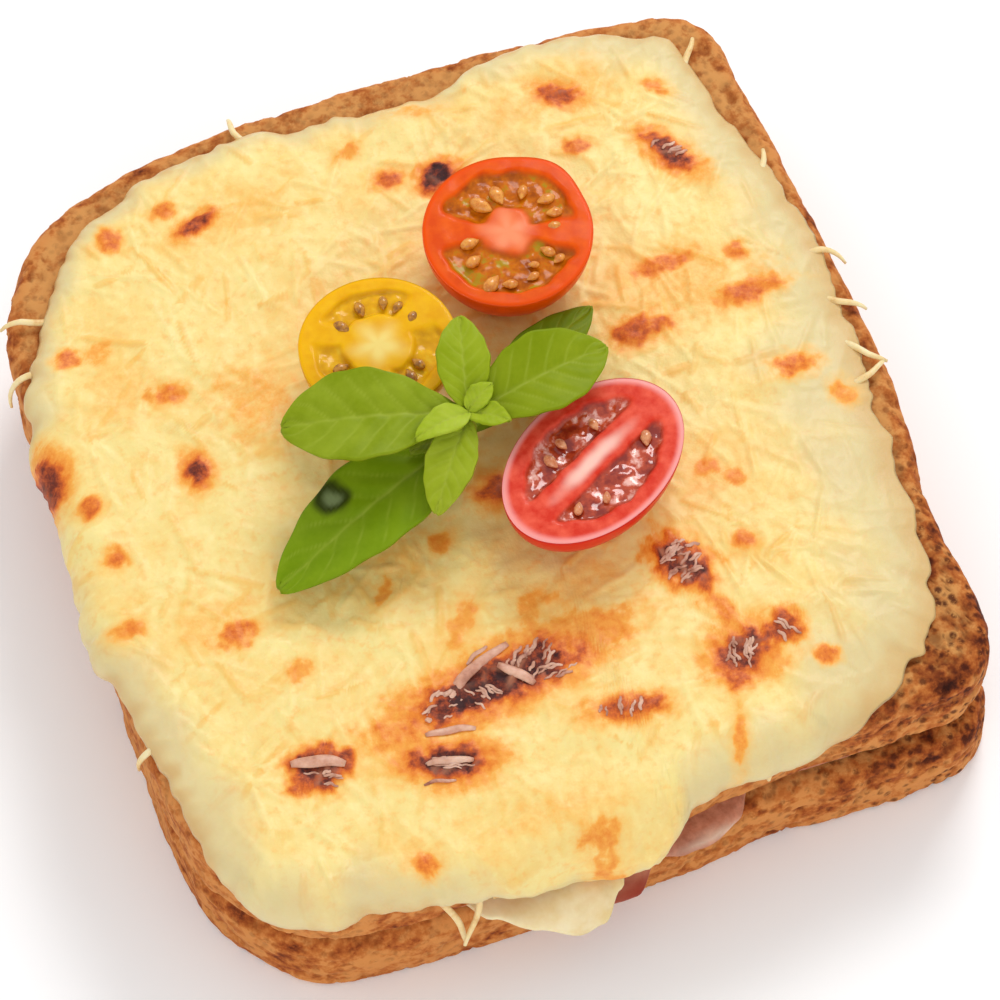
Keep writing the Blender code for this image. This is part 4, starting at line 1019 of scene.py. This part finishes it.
def tomato_finish(kind):
    # Cut tomato: wet flesh, darker and glossier jelly, and a smooth waxy skin outside
    tones = PALETTES[kind]
    finish, tree, shader, place = new_finish(
        "wet_" + kind + "_tomato", Specular_IOR_Level=0.12, IOR=1.36, Subsurface_Weight=0.1,
        Subsurface_Scale=0.8 * MM, Subsurface_Radius=(2.0, 0.7, 0.3), Coat_Roughness=0.07)
    fibres = speckle(tree, place, 2.2, 4.0)
    cells = speckle(tree, place, 0.8, 3.0)
    flesh = blend(tree, adjust(tree, fibres, 0.35, 0.65), tones["flesh"], tones["deep"])
    flesh = blend(tree, stored(tree, "core"), flesh, tones["core"])
    # The rim line; on the red tomato its pale colour is a painted reflection
    flesh = blend(tree, stored(tree, "skin_line"), flesh, tones["line"])
    jelly = blend(tree, adjust(tree, fibres, 0.45, 0.62), tones["jelly"], tones["dark"])
    # Patches of clearer jelly; on the red tomato their pale pink is partly pale jelly and partly painted
    # glints
    jelly = blend(tree, adjust(tree, fibres, 0.45, 0.34), jelly, tones["clear"])
    flesh = blend(tree, stored(tree, "jelly"), flesh, jelly)
    flesh = blend(tree, combine(tree, "MULTIPLY", stored(tree, "jelly_edge"), 0.3), flesh, tones["dark"])
    skin = blend(tree, adjust(tree, fibres, 0.3, 0.7), tones["skin"], tones["deep"])
    tree.links.new(blend(tree, stored(tree, "face"), skin, flesh), shader.inputs["Base Color"])
    tree.links.new(adjust(tree, stored(tree, "jelly"), 0, 1, 0.3, 0.2), shader.inputs["Roughness"])
    wet = 1.0 if kind == "red" else 0.2
    tree.links.new(adjust(tree, stored(tree, "jelly"), 0, 1, 0.06, wet), shader.inputs["Coat Weight"])
    bump = add_node(tree, "ShaderNodeBump", {"Height": cells, "Strength": 0.15, "Distance": 0.1 * MM})
    tree.links.new(bump.outputs["Normal"], shader.inputs["Normal"])
    return finish


for kind, piece in tomatoes.items():
    serve(piece, "tomato_" + kind, tomato_finish(kind))

# %% [markdown]
# ## Tomato seeds
# A seed is a flat drop a few millimetres long, in a coat of jelly. It is modelled once, from a small ball
# drawn out to a point, and each copy is turned and half sunk in a chamber. The seeds of a tomato are then
# joined into one piece.

# %% Seeds: x and y from the tomato's middle, length in mm, and direction in degrees
SEEDS = {
    "orange": [
        (0.7, 6.5, 3.1, 98), (-2.1, 5.6, 3.4, 131), (7.2, 3.5, 2.6, 2), (7.5, 0.9, 2.3, -12),
        (6.6, -1.3, 2.2, -7), (4.3, -5.1, 2.3, -49), (5.4, -6.9, 1.9, 23), (1.6, -6.6, 1.6, -20),
        (-2.8, -8.6, 2.2, -16), (-5.3, -7.7, 3.2, -143), (-6.4, -3.1, 2.6, -157), (-5.9, 0.0, 2.7, -175),
        (4.4, 5.8, 2.3, 60), (0.8, -8.5, 1.9, 15),
    ],
    "yellow": [
        (-3.9, 4.4, 2.7, 126), (-0.5, 6.5, 2.4, 94), (4.7, 5.0, 2.1, 40), (6.1, 2.6, 2.2, 49),
        (3.0, 6.4, 2.1, 75), (2.7, -6.6, 2.4, -80), (4.4, -5.0, 2.2, -60), (-6.3, -2.0, 2.4, 190),
        (-6.0, -4.4, 2.2, 215),
    ],
    "red": [
        (-5.7, 1.9, 2.4, 115), (-3.3, 4.1, 2.0, 116),
        (8.4, 1.0, 2.4, 75), (-4.7, -6.6, 2.0, -118), (-0.3, -6.2, 1.8, -111), (2.2, 5.6, 2.0, 100),
    ],
}
# How deep a seed's middle lies, and how much its jelly coat adds to its size
SEED_DEPTH, JELLY_COAT = 0.28 * MM, 1.12
SEED_COLOURS = {
    "orange": ("#E8A040", "#CC7418"), "yellow": ("#CC8C1C", "#8E560C"), "red": ("#E09C6C", "#C06838"),
}


def seed_pattern():
    """One seed, 1 mm long, pointed at its inner end."""
    bpy.ops.object.select_all(action="DESELECT")
    bpy.ops.mesh.primitive_uv_sphere_add(segments=14, ring_count=9, radius=0.5 * MM)
    seed = bpy.context.object
    bumpy = read_points(seed)
    taper = 1 - 0.5 * smooth_step(0.05 * MM, -0.5 * MM, bumpy[:, 0])
    bumpy[:, 1] *= 0.62 * taper
    bumpy[:, 2] *= 0.5 * taper
    place_points(seed, bumpy)
    return seed


pattern = seed_pattern()
for kind, rows in SEEDS.items():
    centre_x, centre_y = TOMATO_SIZES[kind][0]
    copies = []
    for x, y, size, degrees in rows:
        seed = pattern.copy()
        seed.data = pattern.data.copy()
        bpy.context.scene.collection.objects.link(seed)
        spot = Vector(((centre_x + x) * MM, (centre_y + y) * MM, FACE_HEIGHT - SEED_DEPTH))
        lie = Matrix.Rotation(math.radians(degrees), 4, "Z") @ Matrix.Scale(JELLY_COAT * size, 4)
        seed.data.transform(Matrix.Translation(spot) @ lie)
        copies.append(seed)
    seeds = joined(copies, kind + "_tomato_seeds")
    # Tomato seed in its jelly coat: a pale, felted seed under a clear wet film
    seed_coat, tree, shader, place = new_finish(
        "jelly_coated_seed_" + kind, Roughness=0.3, IOR=1.36, Coat_Weight=0.6, Coat_Roughness=0.08,
        Subsurface_Weight=0.3, Subsurface_Scale=0.8 * MM, Subsurface_Radius=(1.5, 0.8, 0.4))
    felt = speckle(tree, place, 0.9, 4.0, 0.7)
    light_tone, dark_tone = SEED_COLOURS[kind]
    seed_tone = blend(tree, adjust(tree, felt, 0.4, 0.62), light_tone, dark_tone)
    tree.links.new(seed_tone, shader.inputs["Base Color"])
    felt_bump = add_node(tree, "ShaderNodeBump", {"Height": felt, "Strength": 0.3, "Distance": 0.1 * MM})
    tree.links.new(felt_bump.outputs["Normal"], shader.inputs["Normal"])
    serve(seeds, "tomato_" + kind, seed_coat)
bpy.data.objects.remove(pattern, do_unlink=True)

# %% [markdown]
# ## Basil
# A basil leaf is a soft, glossy oval, folded a little along its midrib and quilted between its side
# veins. Each one starts as a flat grid, is drawn out from its base to its tip, and gets its thickness from
# Solidify. Old leaves are mid green, the heart of the sprig is yellow green, and the two leaves that lie
# underneath are darker.

# %% Shape the leaves
# Base, tip, width and arch in mm, fold, roll in degrees, where it is widest, its green and its paler green
LEAVES = {
    "leaf_left": ((-3.2, -5.2, 44.6), (-28.8, 2.2, 43.6), 14.4, 1.6, 0.20, -6, 0.6, "#7C8E0C", "#96A62A"),
    "leaf_right": ((-3.4, -5.4, 44.4), (18.8, -1.8, 45.4), 12.4, 1.2, 0.22, 6, 0.55, "#7A8C06", "#909E1C"),
    "leaf_low": ((-2.8, -4.2, 37.9), (-36.2, -17.6, 34.4), 14.6, 1.6, 0.14, 4, 0.5, "#6E8A04", "#849C1A"),
    "leaf_back": ((-3.4, -5.0, 44.9), (0.4, 9.0, 47.2), 7.6, 0.9, 0.26, 0, 0.5, "#86980C", "#9EAE28"),
    "leaf_front": ((-3.6, -5.6, 44.6), (-12.4, -17.0, 41.0), 7.2, 1.2, 0.24, 0, 0.5, "#8C9C14", "#A8B634"),
    "leaf_under": ((-2.2, -3.4, 36.8), (21.6, 11.6, 34.6), 9.0, 0.8, 0.10, 0, 0.5, "#647806", "#7A8A14"),
    "tender_left": ((-3.2, -5.4, 45.4), (-12.0, -7.6, 46.6), 4.6, 0.8, 0.30, 0, 0.45, "#94A814", "#B4C444"),
    "tender_right": ((-3.4, -5.4, 45.4), (1.4, -9.4, 46.8), 4.0, 0.5, 0.30, 0, 0.45, "#8CA00E", "#A8B830"),
    "tender_top": ((-3.4, -5.2, 45.5), (1.0, -3.2, 47.4), 3.6, 0.5, 0.30, 0, 0.45, "#90A412", "#AEBE38"),
    "tender_low": ((-2.8, -4.6, 39.4), (-12.2, -5.4, 39.6), 4.4, 0.6, 0.20, 0, 0.45, "#6A7C0A", "#7E8E1C"),
}
LEAF_THICKNESS = 0.45 * MM
SIDE_VEINS = 6


def basil_leaf(name, base, tip, width, arch, fold, roll, peak):
    """One leaf from its base to its tip, folded along its midrib and quilted between its side veins."""
    start, end = np.array(base) * MM, np.array(tip) * MM
    length = np.linalg.norm(end - start)
    along = (end - start) / length
    sideways = np.cross((0, 0, 1), along)
    sideways /= np.linalg.norm(sideways)
    sideways = np.array(Matrix.Rotation(math.radians(roll), 3, Vector(along)) @ Vector(sideways))
    upwards = np.cross(along, sideways)
    cells = (64, 32) if width > 6 else (32, 16)
    bpy.ops.object.select_all(action="DESELECT")
    bpy.ops.mesh.primitive_grid_add(x_subdivisions=cells[0], y_subdivisions=cells[1], size=2)
    leaf = bpy.context.object
    leaf.name = leaf.data.name = name
    grid = read_points(leaf)
    share, across = (grid[:, 0] + 1) / 2, grid[:, 1]
    power = math.log(0.5) / math.log(peak)
    half_width = width / 2 * MM * (0.05 + 0.95 * np.sin(math.pi * share ** power) ** 0.7)
    half_width *= 1 + 0.02 * np.sin(share * 31 + 2 * np.sign(across))
    ripple = 0.35 * MM * across ** 2 * np.sin(9 * share + 2 * across)
    vein_place = share * (SIDE_VEINS + 1) - 1.5 * abs(across) + 0.18 * np.sign(across)
    side_vein = np.exp(-(((vein_place - np.rint(vein_place)) * length / (SIDE_VEINS + 1)) / (0.22 * MM)) ** 2)
    side_vein *= smooth_step(0.04, 0.1, share) * (1 - smooth_step(0.75, 1.0, abs(across)))
    midrib = np.exp(-((across * half_width) / (0.28 * MM)) ** 2) * (1 - 0.6 * share)
    quilt = 0.16 * MM * width / 12 * (0.5 - 0.5 * np.cos(2 * math.pi * vein_place)) * (1 - abs(across) ** 3)
    height = arch * MM * np.sin(math.pi * share) + fold * np.sqrt(across ** 2 + 0.01) * half_width
    height += ripple + quilt - 0.18 * MM * midrib - 0.05 * MM * side_vein
    place_points(leaf, start + np.outer(share, end - start) + np.outer(across * half_width, sideways)
                 + np.outer(height, upwards))
    paint(leaf, "vein", np.clip(midrib + 0.45 * side_vein, 0, 1))
    blot = np.hypot((share - 0.605) * length / MM, across * half_width / MM + 4.8)
    blot = blot + 0.9 * bumps(grid, 0.25) if name == "leaf_low" else np.full(len(grid), 99.0)
    paint(leaf, "blot", 1 - smooth_step(1.9, 3.4, blot))
    # Painted highlight: the pale grey middle of the dark blot on the low leaf
    paint(leaf, "blot_highlight", 1 - smooth_step(0.5, 1.6, blot))
    skin = leaf.modifiers.new("thickness", "SOLIDIFY")
    skin.thickness = LEAF_THICKNESS
    skin.offset = 0
    bpy.ops.object.modifier_apply(modifier=skin.name)
    return leaf


def leaf_finish(name, green, pale):
    # Fresh basil: a waxy leaf with a soft gloss that lets some light through, and paler veins
    finish, tree, shader, place = new_finish(
        "fresh_" + name, Roughness=0.42, Specular_IOR_Level=0.08, Subsurface_Weight=0.15,
        Subsurface_Scale=0.5 * MM, Subsurface_Radius=(0.8, 1.2, 0.2))
    patch = speckle(tree, place, 5.0, 4.0)
    cells = speckle(tree, place, 0.7, 3.0)
    colour = blend(tree, adjust(tree, patch, 0.35, 0.7, 0, 0.7), green, pale)
    colour = blend(tree, adjust(tree, cells, 0.4, 0.8, 0, 0.2), colour, pale)
    colour = blend(tree, combine(tree, "MULTIPLY", stored(tree, "vein"), 0.55), colour, "#AEBA48")
    colour = blend(tree, stored(tree, "blot"), colour, "#333C0A")
    # Painted highlight in the middle of the blot
    colour = blend(tree, combine(tree, "MULTIPLY", stored(tree, "blot_highlight"), 0.8), colour, "#7C8A5C")
    tree.links.new(colour, shader.inputs["Base Color"])
    bump = add_node(tree, "ShaderNodeBump", {"Height": cells, "Strength": 0.25, "Distance": 0.12 * MM})
    tree.links.new(bump.outputs["Normal"], shader.inputs["Normal"])
    return finish


for name, (*shape, green, pale) in LEAVES.items():
    leaf = basil_leaf(name, *shape)
    serve(leaf, "basil_sprig", leaf_finish(name, green, pale))

# %% The stem, by points from its top down, in mm
STEM = [(-3.4, -5.4, 45.6), (-3.2, -5.0, 42.0), (-2.6, -4.0, 38.0), (-1.2, -1.0, 34.6), (0.4, 2.4, 33.0)]
stem_route = np.array(STEM) * MM
stem = joined([flat_strand(stem_route, stem_route + (MM, 0, 0), 0.9 * MM, 0.9 * MM)], "basil_stem")
for mark in ("vein", "blot", "blot_highlight"):
    paint(stem, mark, np.zeros(len(stem.data.vertices)))
serve(stem, "basil_sprig", leaf_finish("basil_stem", "#8A9C20", "#A6B440"))
